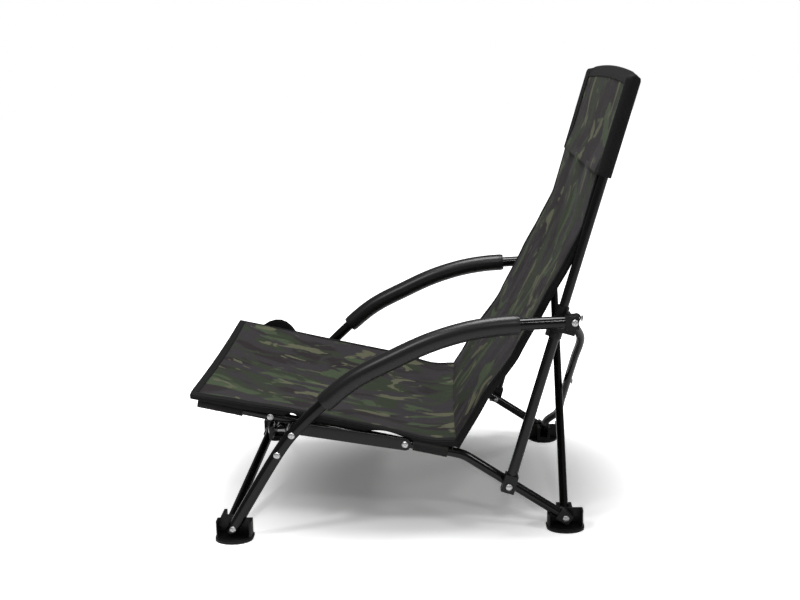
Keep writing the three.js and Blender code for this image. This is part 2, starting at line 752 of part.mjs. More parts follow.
const backPoint = (u, v) => {
  const across = acrossAt(THREE.MathUtils.clamp(u, 0, 1));
  const rise = backBottom + backLength * v;
  const share = THREE.MathUtils.clamp(v, 0, 1);
  const set = Math.max(backStandOff * backStandOffShare(share), 0) + backClear;
  const sag = backSag * (1 - across * across) * bulge(share);
  const wave = backFoldDepth * Math.sin(across * backFolds * Math.PI);
  const folds = wave * (1 - smooth(share, ...backFoldShares));
  const flare = smooth(share, 0, backFlareShare);
  const halfWidth = THREE.MathUtils.lerp(creaseHalfWidth, uprightX - edgeLift, flare);
  return onUpright(rise, sag - set + folds).setX(across * halfWidth);
};

const backSling = () => sheet(clothColumns, clothRows, backPoint, clothThickness);

// Head pocket: a flat bag, open below, slipped over the tops of the uprights
const ontoUpright = new THREE.Matrix4().makeBasis(acrossWay, rearward, uprightWay).setPosition(uprightPin);
const pocketColumns = 16;
const pocketSteps = 4;

const pocketOutline = (radius, slim) => {
  const depthAt = (across) => slim + (radius - slim) * smooth(Math.abs(across), pocketFlatShare, 1);
  const stations = Array.from({ length: pocketColumns + 1 }, (_, step) => 1 - (step + step) / pocketColumns);
  const shape = new THREE.Shape();
  stations.forEach((across, step) => {
    const [x, set] = [across * uprightX, -depthAt(across)];
    return step ? shape.lineTo(x, set) : shape.moveTo(x, set);
  });
  shape.absarc(-uprightX, 0, radius, -Math.PI / 2, Math.PI / 2, true);
  stations.forEach((across) => shape.lineTo(-across * uprightX, depthAt(across)));
  shape.absarc(uprightX, 0, radius, Math.PI / 2, -Math.PI / 2, true);
  return shape;
};

const headPocket = () => {
  const radius = upperDiameter / 2 + pocketRoom + clothThickness;
  const outline = pocketOutline(radius, pocketSlim);
  const room = pocketOutline(radius - clothThickness, pocketSlim - clothThickness);
  const height = pocketTop - pocketBottom;
  const options = { bevelEnabled: false, curveSegments: boreSides / 2, steps: pocketSteps };
  const bag = new THREE.ExtrudeGeometry(outline, { ...options, depth: height });
  const inside = new THREE.ExtrudeGeometry(room, { ...options, depth: height })
    .translate(0, 0, -clothThickness - runningGap);
  const hollow = subtract(bag, [inside]);
  const place = hollow.attributes.position;
  for (let corner = 0; corner < place.count; corner += 1) {
    const across = Math.min(1, Math.abs(place.getX(corner)) / uprightX);
    const share = Math.max(0, place.getZ(corner) / height);
    place.setZ(corner, place.getZ(corner) + pocketArch * share * (1 - across * across));
  }
  return hollow.translate(0, 0, pocketBottom).applyMatrix4(ontoUpright);
};

// Side pocket that hangs outside the right rail, in front of the link bar, open at the top
const sidePocketLength = (seatRailLength - sidePocketStart - linkFrontReach - linkWidth / 2) * sidePocketShare;

const sidePocket = () => {
  const bag = (inset) => {
    const shape = new THREE.Shape();
    const length = sidePocketLength - inset - inset;
    const slant = sidePocketLength * sidePocketSlantShare;
    shape.moveTo(inset, 0);
    shape.lineTo(inset + slant, -sidePocketDrop + inset);
    shape.lineTo(inset + length - slant, -sidePocketDrop + inset);
    shape.lineTo(inset + length, 0);
    const crown = inset ? 0 : sidePocketLift + sidePocketLift;
    shape.quadraticCurveTo(sidePocketLength / 2, crown, inset, 0);
    return new THREE.ExtrudeGeometry(shape, {
      depth: sidePocketDepth - inset - inset, bevelEnabled: false, curveSegments: sidePocketSteps,
    }).translate(0, inset ? inset + inset : 0, inset);
  };
  const start = along(railBend, seatWay, seatRailLength - sidePocketStart);
  const turned = subtract(bag(0), [bag(clothThickness), bag(clothThickness).translate(0, sidePocketLift, 0)]);
  const outwards = side(-seatWay.z, seatWay.y).negate();
  const place = new THREE.Matrix4().makeBasis(seatWay.clone().negate(), outwards, acrossWay);
  return turned.applyMatrix4(place)
    .translate(-railX - seatOverhang - layerGap - layerGap - sidePocketDepth, start.y, start.z);
};

// Assembly
const chair = new THREE.Group();
const leftSide = new THREE.Group();
const rightSide = new THREE.Group();
const middle = new THREE.Group();
chair.add(leftSide, rightSide, middle);

const addPiece = (group, name, geometry, material, x = 0) => {
  const mesh = new THREE.Mesh(geometry, material());
  mesh.name = name;
  mesh.position.x = x;
  group.add(mesh);
  return mesh;
};

const hands = [
  { hand: 1, label: 'left', group: leftSide, turn: (geometry) => geometry },
  { hand: -1, label: 'right', group: rightSide, turn: mirrored },
];

const frontHand = (hand) => -hand * braceOffset;

for (const { hand, label, group, turn } of hands) {
  const add = (name, geometry, material, x) =>
    addPiece(group, `${label}_${name}`, turn(geometry), material, hand * x);
  add('arm_tube', armTube(), finishes.frame, armX);
  add('arm_grip', armGrip(), finishes.foam, armX);
  add('arm_end_plug', armPlug(), finishes.plastic, armX);
  add('seat_rail', seatRail(), finishes.frame, railX);
  add('leg_end_plug', legPlug(), finishes.plastic, railX);
  add('link_bar', linkBar(), finishes.frame, 0);
  add('upright_lower', lowerUpright(), finishes.frame, uprightX);
  add('upright_upper', upperUpright(), finishes.frame, uprightX);
  add('upright_foot_plug', footPlug(), finishes.plastic, uprightX);
  add('stop_collar', stopCollar(), finishes.plastic, uprightX);
  add('slider', slider(), finishes.plastic, uprightX);
  add('brace_knee', knee(frontHand(-hand)), finishes.plastic, railX);
  add('front_foot', foot(frontPin, armWay, armDiameter / 2, frontPlane, frontPinX, armX, frontHand(hand),
    frontBraceDiameter), finishes.plastic, armX);
  add('rear_foot', foot(rearPin, legWay, railDiameter / 2, rearPlane, rearPinX, railX, 0, rearBraceDiameter),
    finishes.plastic, railX);

  // Each rivet runs from a gap outside its outer face to its inner end
  const addRivet = (name, point, outerFace, innerEnd, clenched, shoulder) => {
    const geometry = rivet(outerFace + runningGap - innerEnd, clenched, shoulder);
    const mesh = addPiece(group, `${label}_${name}_rivet`, turn(geometry), finishes.rivet);
    mesh.position.copy(withX(hand * (outerFace + runningGap), point));
  };
  const armFaces = [armX + armDiameter / 2, armX - armDiameter / 2];
  const behind = (face) => face - runningGap;
  const railInner = railX - railDiameter / 2;
  const wallFace = (legX, diameter) => legX - diameter / 2 - legRoom - footWall + runningGap;
  addRivet('front_foot', frontPin, armFaces[0], wallFace(armX, armDiameter), false);
  addRivet('leg_stop', stopPin, ...armFaces, false);
  addRivet('link_front', linkArmPin, armFaces[0], linkX + linkThickness / 2 + runningGap, false,
    armX - armDiameter / 2 - linkX - linkThickness / 2 - layerGap);
  addRivet('arm_rear', armPin, armFaces[0] + wallRoom / 2, armFaces[1] - wallRoom / 2, false);
  addRivet('link_rear', linkRailPin, linkX + linkThickness / 2, behind(railInner));
  addRivet('knee', braceRailPin, railOuter, behind(railInner - runningGap - kneeCheek));
  addRivet('upright_foot', uprightPin, uprightX + plugWidth / 2, behind(railInner));
  addRivet('rear_foot', rearPin, railOuter + wallRoom / 2, wallFace(railX, railDiameter), false);
}

// Rivets across a brace plane: `from` and `to` are their ends, measured along the plane's normal
const addPlaneRivet = (name, plane, x, rise, from, to, clenched) => {
  const out = Math.sign(from - to);
  const mesh = addPiece(middle, name, rivet(Math.abs(from - to) + runningGap, clenched), finishes.rivet);
  mesh.quaternion.setFromUnitVectors(acrossWay, plane.pivot.clone().multiplyScalar(out));
  mesh.position.copy(inPlane(plane, x, rise, from + out * runningGap));
};

const frontRadius = frontBraceDiameter / 2;
const rearRadius = rearBraceDiameter / 2;
const headLean = headDiameter * frontPlane.lean;

for (const { hand, label } of hands) {
  const offset = frontHand(hand);
  const isBowed = hand < 0;
  addPiece(middle, `front_brace_from_${label}`,
    brace(frontPlane, frontPinX, hand, frontBraceDiameter, offset), finishes.frame);
  addPiece(middle, `rear_brace_from_${label}`,
    brace(rearPlane, rearPinX, hand, rearBraceDiameter, 0, isBowed ? bowDepth : 0), finishes.frame);
  const plateBack = plateSet(frontHand(-hand));
  addPlaneRivet(`${label}_knee_plate_rivet`, frontPlane, hand * frontPinX, frontPlane.rise,
    plateBack - braceSeat, plateBack, false);
  const top = inPlane(frontPlane, hand * frontPinX, frontPlane.rise, frontHand(-hand));
  addPiece(middle, `${label}_brace_top_pin`, rod(top, frontPlane.pivot, pinDiameter, frontBraceDiameter - wall - wall),
    finishes.rivet);
  addPlaneRivet(`rear_brace_from_${label}_rivet`, rearPlane, -hand * rearPinX, rearPlane.rise,
    rearRadius + wall, -rearRadius, false);
}

addPlaneRivet('front_centre_rivet', frontPlane, 0, frontPlane.rise / 2,
  braceOffset + frontRadius + headLean, -braceOffset - frontRadius - headLean);
addPlaneRivet('rear_centre_rivet', rearPlane, 0, rearPlane.rise / 2,
  bowDepth + rearRadius, bowDepth - rearRadius, false);

addPiece(middle, 'seat_sling', seatSling(), finishes.camo);
addPiece(middle, 'back_sling', backSling(), finishes.camo);
addPiece(middle, 'head_pocket', headPocket(), finishes.camo);
addPiece(rightSide, 'side_pocket', sidePocket(), finishes.mesh);

export default chair;
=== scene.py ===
"""Looks of a low folding fishing chair: tubes, moulded parts, foam arms and printed cloth.

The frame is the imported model's: +Z up, +X to the sitter's left, the chair faces -Y, and the origin is on
the floor under its middle. Meshes are in metres. Sizes that are multiplied by MM are in millimetres.
"""

import json
import logging
import math
from dataclasses import dataclass
from enum import Enum
from functools import partial
from typing import Callable, Sequence

import bmesh
import bpy
from mathutils import Matrix, Vector

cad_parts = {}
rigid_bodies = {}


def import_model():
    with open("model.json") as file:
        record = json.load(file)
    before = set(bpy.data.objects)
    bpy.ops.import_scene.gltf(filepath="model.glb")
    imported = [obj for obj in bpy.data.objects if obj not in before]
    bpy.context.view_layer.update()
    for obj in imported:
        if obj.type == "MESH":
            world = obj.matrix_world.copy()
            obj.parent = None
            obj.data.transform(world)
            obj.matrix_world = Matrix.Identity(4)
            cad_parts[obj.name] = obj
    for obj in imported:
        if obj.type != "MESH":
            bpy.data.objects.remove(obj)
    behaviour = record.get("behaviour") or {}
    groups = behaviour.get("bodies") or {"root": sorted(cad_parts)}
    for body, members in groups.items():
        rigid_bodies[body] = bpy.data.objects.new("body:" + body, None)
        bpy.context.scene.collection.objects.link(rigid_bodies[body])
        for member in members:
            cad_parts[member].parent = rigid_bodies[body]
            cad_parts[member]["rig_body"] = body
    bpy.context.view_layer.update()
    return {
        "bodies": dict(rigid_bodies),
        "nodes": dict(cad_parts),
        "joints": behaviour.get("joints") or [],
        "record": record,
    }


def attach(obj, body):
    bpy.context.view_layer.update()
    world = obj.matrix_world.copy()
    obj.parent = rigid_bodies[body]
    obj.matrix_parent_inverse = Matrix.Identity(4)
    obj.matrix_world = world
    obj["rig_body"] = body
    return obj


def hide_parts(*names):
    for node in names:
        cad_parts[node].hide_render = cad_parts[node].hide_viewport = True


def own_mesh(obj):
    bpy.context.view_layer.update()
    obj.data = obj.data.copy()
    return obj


LOG = logging.getLogger("chair")
MM = 0.001
TINY = 1e-6
ACROSS = Vector((1.0, 0.0, 0.0))
REARWARD = Vector((0.0, 1.0, 0.0))
UP = Vector((0.0, 0.0, 1.0))


class Hand(Enum):
    """The sitter's left side or right side."""

    LEFT = 1
    RIGHT = -1

    @property
    def label(self) -> str:
        """The start of the names of that side's nodes and bodies."""
        return self.name.lower()


class Slot(Enum):
    """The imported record's material slots."""

    FRAME = "frame"
    PLASTIC = "plastic"
    FOAM = "foam"
    RIVET = "rivet"
    CAMO = "camo"
    MESH = "mesh"


def side(y: float, z: float) -> Vector:
    """A point of the side plane, given in millimetres."""
    return Vector((0.0, y * MM, z * MM))


def heading(degrees: float) -> Vector:
    """The unit way at that angle above +Y in the side plane."""
    angle = math.radians(degrees)
    return Vector((0.0, math.cos(angle), math.sin(angle)))


def smooth(value: float, start: float, end: float) -> float:
    """Eases from 0, where value is start or less, to 1, where it is end or more."""
    share = min(1.0, max(0.0, (value - start) / (end - start)))
    return share * share * (3.0 - 2.0 * share)


def swell(share: float) -> float:
    """A half sine wave over 0 to 1."""
    return math.sin(math.pi * min(1.0, max(0.0, share)))


def smooth_curve(points: Sequence[Vector], steps: int) -> list[Vector]:
    """A centripetal curve through points, at even steps of its own parameter.

    Args:
        points: the points that the curve passes through.
        steps: the number of steps.

    Returns:
        steps + 1 points.
    """
    out = []
    count = len(points) - 1
    for step in range(steps + 1):
        place = step / steps * count
        index = min(int(place), count - 1)
        weight = place - index
        p1, p2 = points[index], points[index + 1]
        p0 = points[index - 1] if index > 0 else p1 + p1 - points[1]
        p3 = points[index + 2] if index + 2 <= count else p2 + p2 - points[count - 1]
        gaps = [max((b - a).length, TINY) ** 0.5 for a, b in ((p0, p1), (p1, p2), (p2, p3))]
        t1 = ((p1 - p0) / gaps[0] - (p2 - p0) / (gaps[0] + gaps[1]) + (p2 - p1) / gaps[1]) * gaps[1]
        t2 = ((p2 - p1) / gaps[1] - (p3 - p1) / (gaps[1] + gaps[2]) + (p3 - p2) / gaps[2]) * gaps[1]
        square = (-3 * p1 + 3 * p2 - 2 * t1 - t2) * weight**2
        out.append(p1 + t1 * weight + square + (2 * p1 - 2 * p2 + t1 + t2) * weight**3)
    return out


def part_of(points: Sequence[Vector], start: float, end: float, steps: int) -> list[Vector]:
    """Part of a line of points, by shares of its length.

    Args:
        points: the whole line.
        start: the share at which the part starts.
        end: the share at which it ends.
        steps: the number of even steps.

    Returns:
        steps + 1 points.
    """
    lengths = [0.0]
    for a, b in zip(points, points[1:]):
        lengths.append(lengths[-1] + (b - a).length)
    out = []
    for step in range(steps + 1):
        want = lengths[-1] * (start + (end - start) * step / steps)
        index = max(i for i in range(len(points) - 1) if lengths[i] <= want + TINY * TINY)
        span = lengths[index + 1] - lengths[index]
        out.append(points[index].lerp(points[index + 1], (want - lengths[index]) / span))
    return out


def basis(x: Vector, y: Vector, z: Vector, place: Vector) -> Matrix:
    """The matrix whose columns are the ways x, y and z and whose origin is place."""
    matrix = Matrix((x, y, z)).transposed().to_4x4()
    matrix.translation = place
    return matrix


@dataclass(frozen=True)
class ChairLines:
    """The chair's pins and centre lines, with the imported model's own sizes in millimetres."""

    front_y: float = -325
    rear_y: float = 288
    pin_z: float = 23
    brace_pin_z: float = 25
    leg_pitch: float = 33.2
    seat_pitch: float = 12.3
    upright_lean: float = 16.2
    leg_length: float = 225
    seat_length: float = 498
    upright_reach: float = 127
    link_reach: float = 110
    brace_reach: float = 362.207
    saddle_pin: tuple = (8, 28)
    arm_pin_at: tuple = (332, 22)
    rear_top_at: tuple = (325, 36)
    bend_radius: float = 70
    bend_steps: int = 8
    tube_end: float = 9
    arm_rear_end: float = 6
    rail_x: float = 266
    link_x: float = 277.6
    upright_x: float = 286.4
    arm_x: float = 311.35
    front_pin_x: float = 263.3
    rear_pin_x: float = 236
    arm_shares: tuple = (
        (0.140, 0.372), (0.185, 0.469), (0.279, 0.617), (0.370, 0.735), (0.485, 0.831),
        (0.589, 0.907), (0.689, 0.957), (0.770, 0.980), (0.842, 0.989),
    )

    @property
    def front_pin(self) -> Vector:
        """The arm's pin in the front foot."""
        return side(self.front_y, self.pin_z)

    @property
    def rear_pin(self) -> Vector:
        """The rear leg's pin in the rear foot."""
        return side(self.rear_y, self.pin_z)

    @property
    def leg_way(self) -> Vector:
        """The way up the rear leg."""
        return heading(180 - self.leg_pitch)

    @property
    def seat_way(self) -> Vector:
        """The way forward along the seat rail."""
        return heading(180 - self.seat_pitch)

    @property
    def upright_way(self) -> Vector:
        """The way up the uprights."""
        return heading(90 - self.upright_lean)

    @property
    def rearward(self) -> Vector:
        """Square to the uprights, away from the sitter."""
        return heading(-self.upright_lean)

    @property
    def rail_bend(self) -> Vector:
        """Where the rear leg meets the seat rail."""
        return self.rear_pin + self.leg_way * self.leg_length * MM

    @property
    def upright_pin(self) -> Vector:
        """The pin at the foot of an upright."""
        return self.rear_pin + self.leg_way * self.upright_reach * MM

    def on_upright(self, rise: float, back: float = 0.0) -> Vector:
        """A point rise millimetres up the uprights and back millimetres behind them."""
        return self.upright_pin + (self.upright_way * rise + self.rearward * back) * MM

    def on_rail(self, reach: float) -> Vector:
        """A point reach millimetres forward of the rail's bend."""
        return self.rail_bend + self.seat_way * reach * MM

    @property
    def arm_pin(self) -> Vector:
        """The pin that joins the arm to its slider."""
        return self.on_upright(*self.arm_pin_at)

    @property
    def rear_top(self) -> Vector:
        """The top pin of the rear braces."""
        return self.on_upright(*self.rear_top_at)

    @property
    def knee_pin(self) -> Vector:
        """The pin in the saddle under the seat rail."""
        back, drop = self.saddle_pin
        return self.on_rail(self.brace_reach - back) - UP * drop * MM

    def arm_point(self, shares: Sequence[float]) -> Vector:
        """A point of the arm, by its shares of the reach and the rise between the arm's end pins."""
        start, end = self.front_pin, self.arm_pin
        reach, rise = shares
        return Vector((0.0, start.y + (end.y - start.y) * reach, start.z + (end.z - start.z) * rise))

    def arm_line(self, steps: int) -> list[Vector]:
        """The centre line of the arm tube, in that many steps."""
        points = [self.front_pin, *map(self.arm_point, self.arm_shares), self.arm_pin]
        start = points[0] - (points[1] - points[0]).normalized() * self.tube_end * MM
        end = points[-1] + (points[-1] - points[-2]).normalized() * self.arm_rear_end * MM
        return smooth_curve([start, *points, end], steps)

    def rail_line(self) -> list[Vector]:
        """The centre line of the rear leg and seat rail."""
        turn = math.radians((self.leg_pitch - self.seat_pitch) / 2)
        run = self.bend_radius * math.tan(turn) * MM
        bend = self.rail_bend
        start, end = bend - self.leg_way * run, bend + self.seat_way * run
        line = [self.rear_pin - self.leg_way * self.tube_end * MM]
        for step in range(self.bend_steps + 1):
            share = step / self.bend_steps
            line.append(start.lerp(bend, share).lerp(bend.lerp(end, share), share))
        return [*line, self.on_rail(self.seat_length)]


LINES = ChairLines()


class Nodes:
    """Builds the node tree of one material or world."""

    def __init__(self, owner: bpy.types.Material | bpy.types.World) -> None:
        """Gives the owner an empty tree."""
        self.owner = owner
        owner.use_nodes = True
        self.tree = owner.node_tree
        self.tree.nodes.clear()

    def add(self, kind: str, settings: dict | None = None, **inputs: object) -> bpy.types.Node:
        """Adds a node.

        Args:
            kind: the node's Blender type, without ShaderNode.
            settings: attributes of the node.
            inputs: values or sockets, by the input's name with _ for a space, or by i and its number.

        Returns:
            The node.
        """
        node = self.tree.nodes.new("ShaderNode" + kind)
        for key, value in (settings or {}).items():
            setattr(node, key, value)
        for key, value in inputs.items():
            numbered = key[0] == "i" and key[1:].isdigit()
            socket = node.inputs[int(key[1:]) if numbered else key.replace("_", " ")]
            if isinstance(value, bpy.types.NodeSocket):
                self.tree.links.new(value, socket)
            else:
                socket.default_value = value
        return node

    def math(self, operation: str, *values: object) -> bpy.types.NodeSocket:
        """The result of a maths node on values or sockets."""
        inputs = {f"i{index}": value for index, value in enumerate(values)}
        return self.add("Math", {"operation": operation}, **inputs).outputs[0]

    def wave(self, value: object, length: float) -> bpy.types.NodeSocket:
        """A sine wave of that length along value."""
        return self.math("SINE", self.math("MULTIPLY", value, 2 * math.pi / length))

    def blots(self, factor: object, level: float, edge: float) -> bpy.types.NodeSocket:
        """White where factor passes level and black elsewhere, with an edge that soft."""
        node = self.add("ValToRGB", Fac=factor)
        for element, place, tone in zip(node.color_ramp.elements, (level - edge, level + edge), (0.0, 1.0)):
            element.position = place
            element.color = grey(tone)
        return node.outputs["Color"]

    def mix(self, factor: object, first: object, second: object) -> bpy.types.NodeSocket:
        """A colour between first and second."""
        return self.add("Mix", {"data_type": "RGBA"}, i0=factor, i6=first, i7=second).outputs[2]

    def noise(self, where: object, scale: float, detail: float, **inputs: object) -> bpy.types.NodeSocket:
        """The level of a noise texture of that scale."""
        return self.add("TexNoise", Vector=where, Scale=scale, Detail=detail, **inputs).outputs["Fac"]

    def moved(
        self, where: object, place: Sequence[float], scale: Sequence[float] = (1, 1, 1)
    ) -> bpy.types.NodeSocket:
        """Coordinates shifted by place and stretched by scale."""
        return self.add("Mapping", Vector=where, Location=tuple(place), Scale=tuple(scale)).outputs[0]

    def bump(self, height: object, strength: float, depth: float, **inputs: object) -> bpy.types.NodeSocket:
        """The normal of a bump map of that strength and depth in metres."""
        return self.add("Bump", Height=height, Strength=strength, Distance=depth, **inputs).outputs[0]

    def surface(self, **inputs: object) -> bpy.types.Material:
        """Ends the tree with a principled surface that has those inputs."""
        return self.end(self.add("BsdfPrincipled", **inputs), "OutputMaterial")

    def end(self, shader: bpy.types.Node, kind: str) -> bpy.types.Material | bpy.types.World:
        """Joins a shader to an output of that kind and gives back the tree's owner."""
        self.add(kind, i0=shader.outputs[0])
        return self.owner


def grey(level: float) -> tuple[float, float, float, float]:
    """A neutral colour."""
    return (level, level, level, 1.0)


@dataclass(frozen=True)
class HardSkin:
    """A neutral skin whose tone and gloss wander a little, with a fine grain.

    Tones are shares of the level. The roughness is its least value and its range. A noise is its scale
    and its detail, and a bump its strength and its depth in metres.
    """

    name: str
    level: float
    tones: tuple[float, float]
    roughness: tuple[float, float]
    specular: float
    cloud: tuple[float, float]
    grain: tuple[float, float]
    bump: tuple[float, float]
    metallic: float = 0.0

    def material(self) -> bpy.types.Material:
        """Builds the material."""
        n = Nodes(bpy.data.materials.new(self.name))
        where = n.add("TexCoord").outputs["Object"]
        cloud = n.noise(where, *self.cloud)
        least, span = self.roughness
        return n.surface(
            Base_Color=n.mix(cloud, *(grey(self.level * share) for share in self.tones)),
            Metallic=self.metallic,
            Roughness=n.math("MULTIPLY_ADD", cloud, span, least),
            Specular_IOR_Level=self.specular,
            Normal=n.bump(n.noise(where, *self.grain), *self.bump),
        )


POWDER_COAT = HardSkin(
    "black_powder_coat", level=0.003, tones=(0.75, 1.4), roughness=(0.1, 0.1), specular=0.34,
    cloud=(38.0, 3.0), grain=(420.0, 2.0), bump=(0.05, 0.0002),
)
MOULDED_PLASTIC = HardSkin(
    "black_moulding", level=0.005, tones=(0.7, 1.6), roughness=(0.28, 0.16), specular=0.3,
    cloud=(60.0, 4.0), grain=(1500.0, 2.0), bump=(0.14, 0.0002),
)
BRIGHT_ZINC = HardSkin(
    "bright_zinc", level=0.62, tones=(0.86, 1.12), roughness=(0.22, 0.2), specular=0.5,
    cloud=(420.0, 4.0), grain=(420.0, 4.0), bump=(0.08, 0.0001), metallic=0.9,
)


@dataclass(frozen=True)
class ClosedFoam:
    """Closed-cell foam sleeve with tiny pores, shallow dents and a satin skin."""

    name: str = "grey_foam"
    tone: tuple = (0.0115, 0.0106, 0.0112)
    tones: tuple = (0.78, 1.2)
    cloud: tuple = (25.0, 4.0)
    pores: float = 900.0
    dents: tuple = (160.0, 4.0)
    dent_depth: float = 0.8
    bump: tuple = (0.12, 0.0003)
    roughness: float = 0.33
    specular: float = 0.4

    def material(self) -> bpy.types.Material:
        """Builds the material."""
        n = Nodes(bpy.data.materials.new(self.name))
        where = n.add("TexCoord").outputs["Object"]
        pores = n.add("TexVoronoi", Vector=where, Scale=self.pores).outputs["Distance"]
        low, high = (tuple(c * share for c in self.tone) + (1.0,) for share in self.tones)
        dents = n.math("MULTIPLY", n.noise(where, *self.dents), self.dent_depth)
        return n.surface(
            Base_Color=n.mix(n.noise(where, *self.cloud), low, high), Roughness=self.roughness,
            Specular_IOR_Level=self.specular, Normal=n.bump(n.math("ADD", pores, dents), *self.bump),
        )


@dataclass(frozen=True)
class Blots:
    """One printed colour: where its noise starts, its size by the pattern's, and how soft its edge is."""

    colour: tuple
    place: tuple
    size: float
    edge: float


@dataclass(frozen=True)
class PrintedCloth:
    """Coated polyester with a dark woodland print of long brushed blots.

    Sizes are in metres of cloth, read from the piece's own map, whose second way runs along the seat
    and up the back. Each cover is the noise level over which that colour's blots lie. A crease is its
    strength and its scale.
    """

    name: str = "woodland_cloth"
    ground: tuple = (0.0330, 0.0290, 0.0325)
    blots: tuple = (
        Blots((0.0190, 0.0135, 0.0160), (7.9, 4.2, 0), 0.8, 0.03),
        Blots((0.0270, 0.0370, 0.0190), (3.1, 1.7, 0), 0.9, 0.03),
        Blots((0.0560, 0.0770, 0.0400), (5.5, 6.4, 0), 1.15, 0.01),
        Blots((0.1100, 0.1130, 0.0680), (1.3, 9.6, 0), 1.5, 0.008),
    )
    cover: tuple = (0.54, 0.535, 0.592, 0.622)
    # painted shade: every printed colour and the streaks are multiplied by this, so below 1 it paints shade
    # into the whole cloth
    shade: float = 1.0
    patch: float = 15.0
    stretch: tuple = (1.0, 0.52, 1.0)
    blot_detail: float = 3.0
    warp: float = 0.9
    streak_level: float = 0.015
    streak_share: float = 0.3
    streak_stretch: tuple = (1.0, 0.12, 1.0)
    streaks: tuple = (90.0, 4.0)
    crease: tuple = (0.3, 17.0)
    crease_place: tuple = (2, 5, 0)
    crease_stretch: tuple = (1.0, 0.45, 1.0)
    crease_detail: float = 5.0
    crease_depth: float = 0.006
    thread: float = 0.0011
    thread_bump: tuple = (0.2, 0.0003)

    def dyed(self, colour: Sequence[float]) -> tuple[float, ...]:
        """A printed colour times the painted shade factor, which paints shade into the cloth where it is below
        1.
        """
        return tuple(c * self.shade for c in colour) + (1.0,)

    def printed(self, n: Nodes, where: object) -> object:
        """The ground with each colour's blots over the ones before it, and faint streaks along it."""
        tone = self.dyed(self.ground)
        for blots, level in zip(self.blots, self.cover):
            spread = n.noise(
                n.moved(where, blots.place, self.stretch), self.patch * blots.size, self.blot_detail,
                Distortion=self.warp, Roughness=0.5,
            )
            tone = n.mix(n.blots(spread, level, blots.edge), tone, self.dyed(blots.colour))
        streak = n.noise(n.moved(where, (0, 0, 0), self.streak_stretch), *self.streaks)
        share = n.math("MULTIPLY", streak, self.streak_share)
        return n.mix(share, tone, grey(self.streak_level * self.shade))

    def relief(self, n: Nodes, where: object) -> object:
        """The normal of a plain weave over soft creases."""
        strength, size = self.crease
        creases = n.noise(n.moved(where, self.crease_place, self.crease_stretch), size, self.crease_detail)
        coarse = n.bump(creases, strength, self.crease_depth)
        parts = n.add("SeparateXYZ", Vector=where).outputs
        weave = n.math("MULTIPLY_ADD", n.wave(parts[0], self.thread), n.wave(parts[1], self.thread), 1.0)
        return n.bump(weave, *self.thread_bump, Normal=coarse)

    def material(self) -> bpy.types.Material:
        """Builds the material."""
        n = Nodes(bpy.data.materials.new(self.name))
        where = n.add("UVMap", {"uv_map": "cloth"}).outputs[0]
        return n.surface(
            Base_Color=self.printed(n, where), Roughness=0.68, Specular_IOR_Level=0.22, Sheen_Weight=0.03,
            Sheen_Roughness=0.4, Normal=self.relief(n, where),
        )


@dataclass(frozen=True)
class RibbedTape:
    """Black binding tape with ribs across it and a row of stitches."""

    name: str = "black_binding"
    level: float = 0.0065
    tones: tuple = (0.7, 1.5)
    fuzz: tuple = (900.0, 3.0)
    rib: float = 0.0016
    rib_share: float = 0.5
    stitch: float = 0.0045
    stitch_share: float = 0.35
    bump: tuple = (0.35, 0.0004)

    def material(self) -> bpy.types.Material:
        """Builds the material."""
        n = Nodes(bpy.data.materials.new(self.name))
        where = n.add("UVMap", {"uv_map": "cloth"}).outputs[0]
        along = n.add("SeparateXYZ", Vector=where).outputs[1]
        ribs = n.math("MULTIPLY", n.wave(along, self.rib), self.rib_share)
        dashes = n.math("MULTIPLY", n.wave(along, self.stitch), self.stitch_share)
        tone = n.mix(n.noise(where, *self.fuzz), *(grey(self.level * share) for share in self.tones))
        return n.surface(
            Base_Color=tone, Roughness=0.7, Specular_IOR_Level=0.16, Sheen_Weight=0.02,
            Normal=n.bump(n.math("ADD", ribs, dashes), *self.bump),
        )


@dataclass(frozen=True)
class StudioFloor:
    """White sweep: the lens sees it white, and it keeps the chair's soft shadow.

    Only the lens sees the lifts: near_lift on the whole floor, and lift on top of it outside plain,
    which is two distances in metres from the middle.
    """

    name: str = "white_sweep"
    level: float = 0.9
    lift: float = 1.0
    near_lift: float = 0.13
    plain: tuple = (0.16, 0.66)
    middle: tuple = (0.0, -0.03, 0.0)

    def material(self) -> bpy.types.Material:
        """Builds the material."""
        n = Nodes(bpy.data.materials.new(self.name))
        seen = n.add("LightPath").outputs["Is Camera Ray"]
        where = n.moved(n.add("TexCoord").outputs["Object"], self.middle)
        reach = n.add("VectorMath", {"operation": "LENGTH"}, i0=where).outputs["Value"]
        start, end = self.plain
        far = n.add("MapRange", {"interpolation_type": "SMOOTHSTEP"}, i0=reach, i1=start, i2=end).outputs[0]
        strength = n.math("MULTIPLY", seen, n.math("MULTIPLY_ADD", far, self.lift, self.near_lift))
        paint = n.add("BsdfDiffuse", Color=grey(self.level))
        glow = n.add("Emission", Color=grey(1.0), Strength=strength)
        return n.end(n.add("AddShader", i0=paint.outputs[0], i1=glow.outputs[0]), "OutputMaterial")


class Finishes:
    """The chair's materials, each built once."""

    def __init__(self) -> None:
        """Builds every finish."""
        self.tube = POWDER_COAT.material()
        self.moulding = MOULDED_PLASTIC.material()
        self.foam = ClosedFoam().material()
        self.zinc = BRIGHT_ZINC.material()
        self.cloth = PrintedCloth().material()
        self.tape = RibbedTape().material()
        # the corner sleeves' copy of the print, darkened by painted shade
        self.dark_cloth = PrintedCloth("shaded_woodland_cloth", shade=0.42).material()
        self.back_cloth = PrintedCloth(
            "creased_woodland_cloth", patch=11.0, stretch=(1.0, 0.62, 1.0), crease=(0.9, 13.0),
            cover=(0.52, 0.56, 0.59, 0.61),
        ).material()


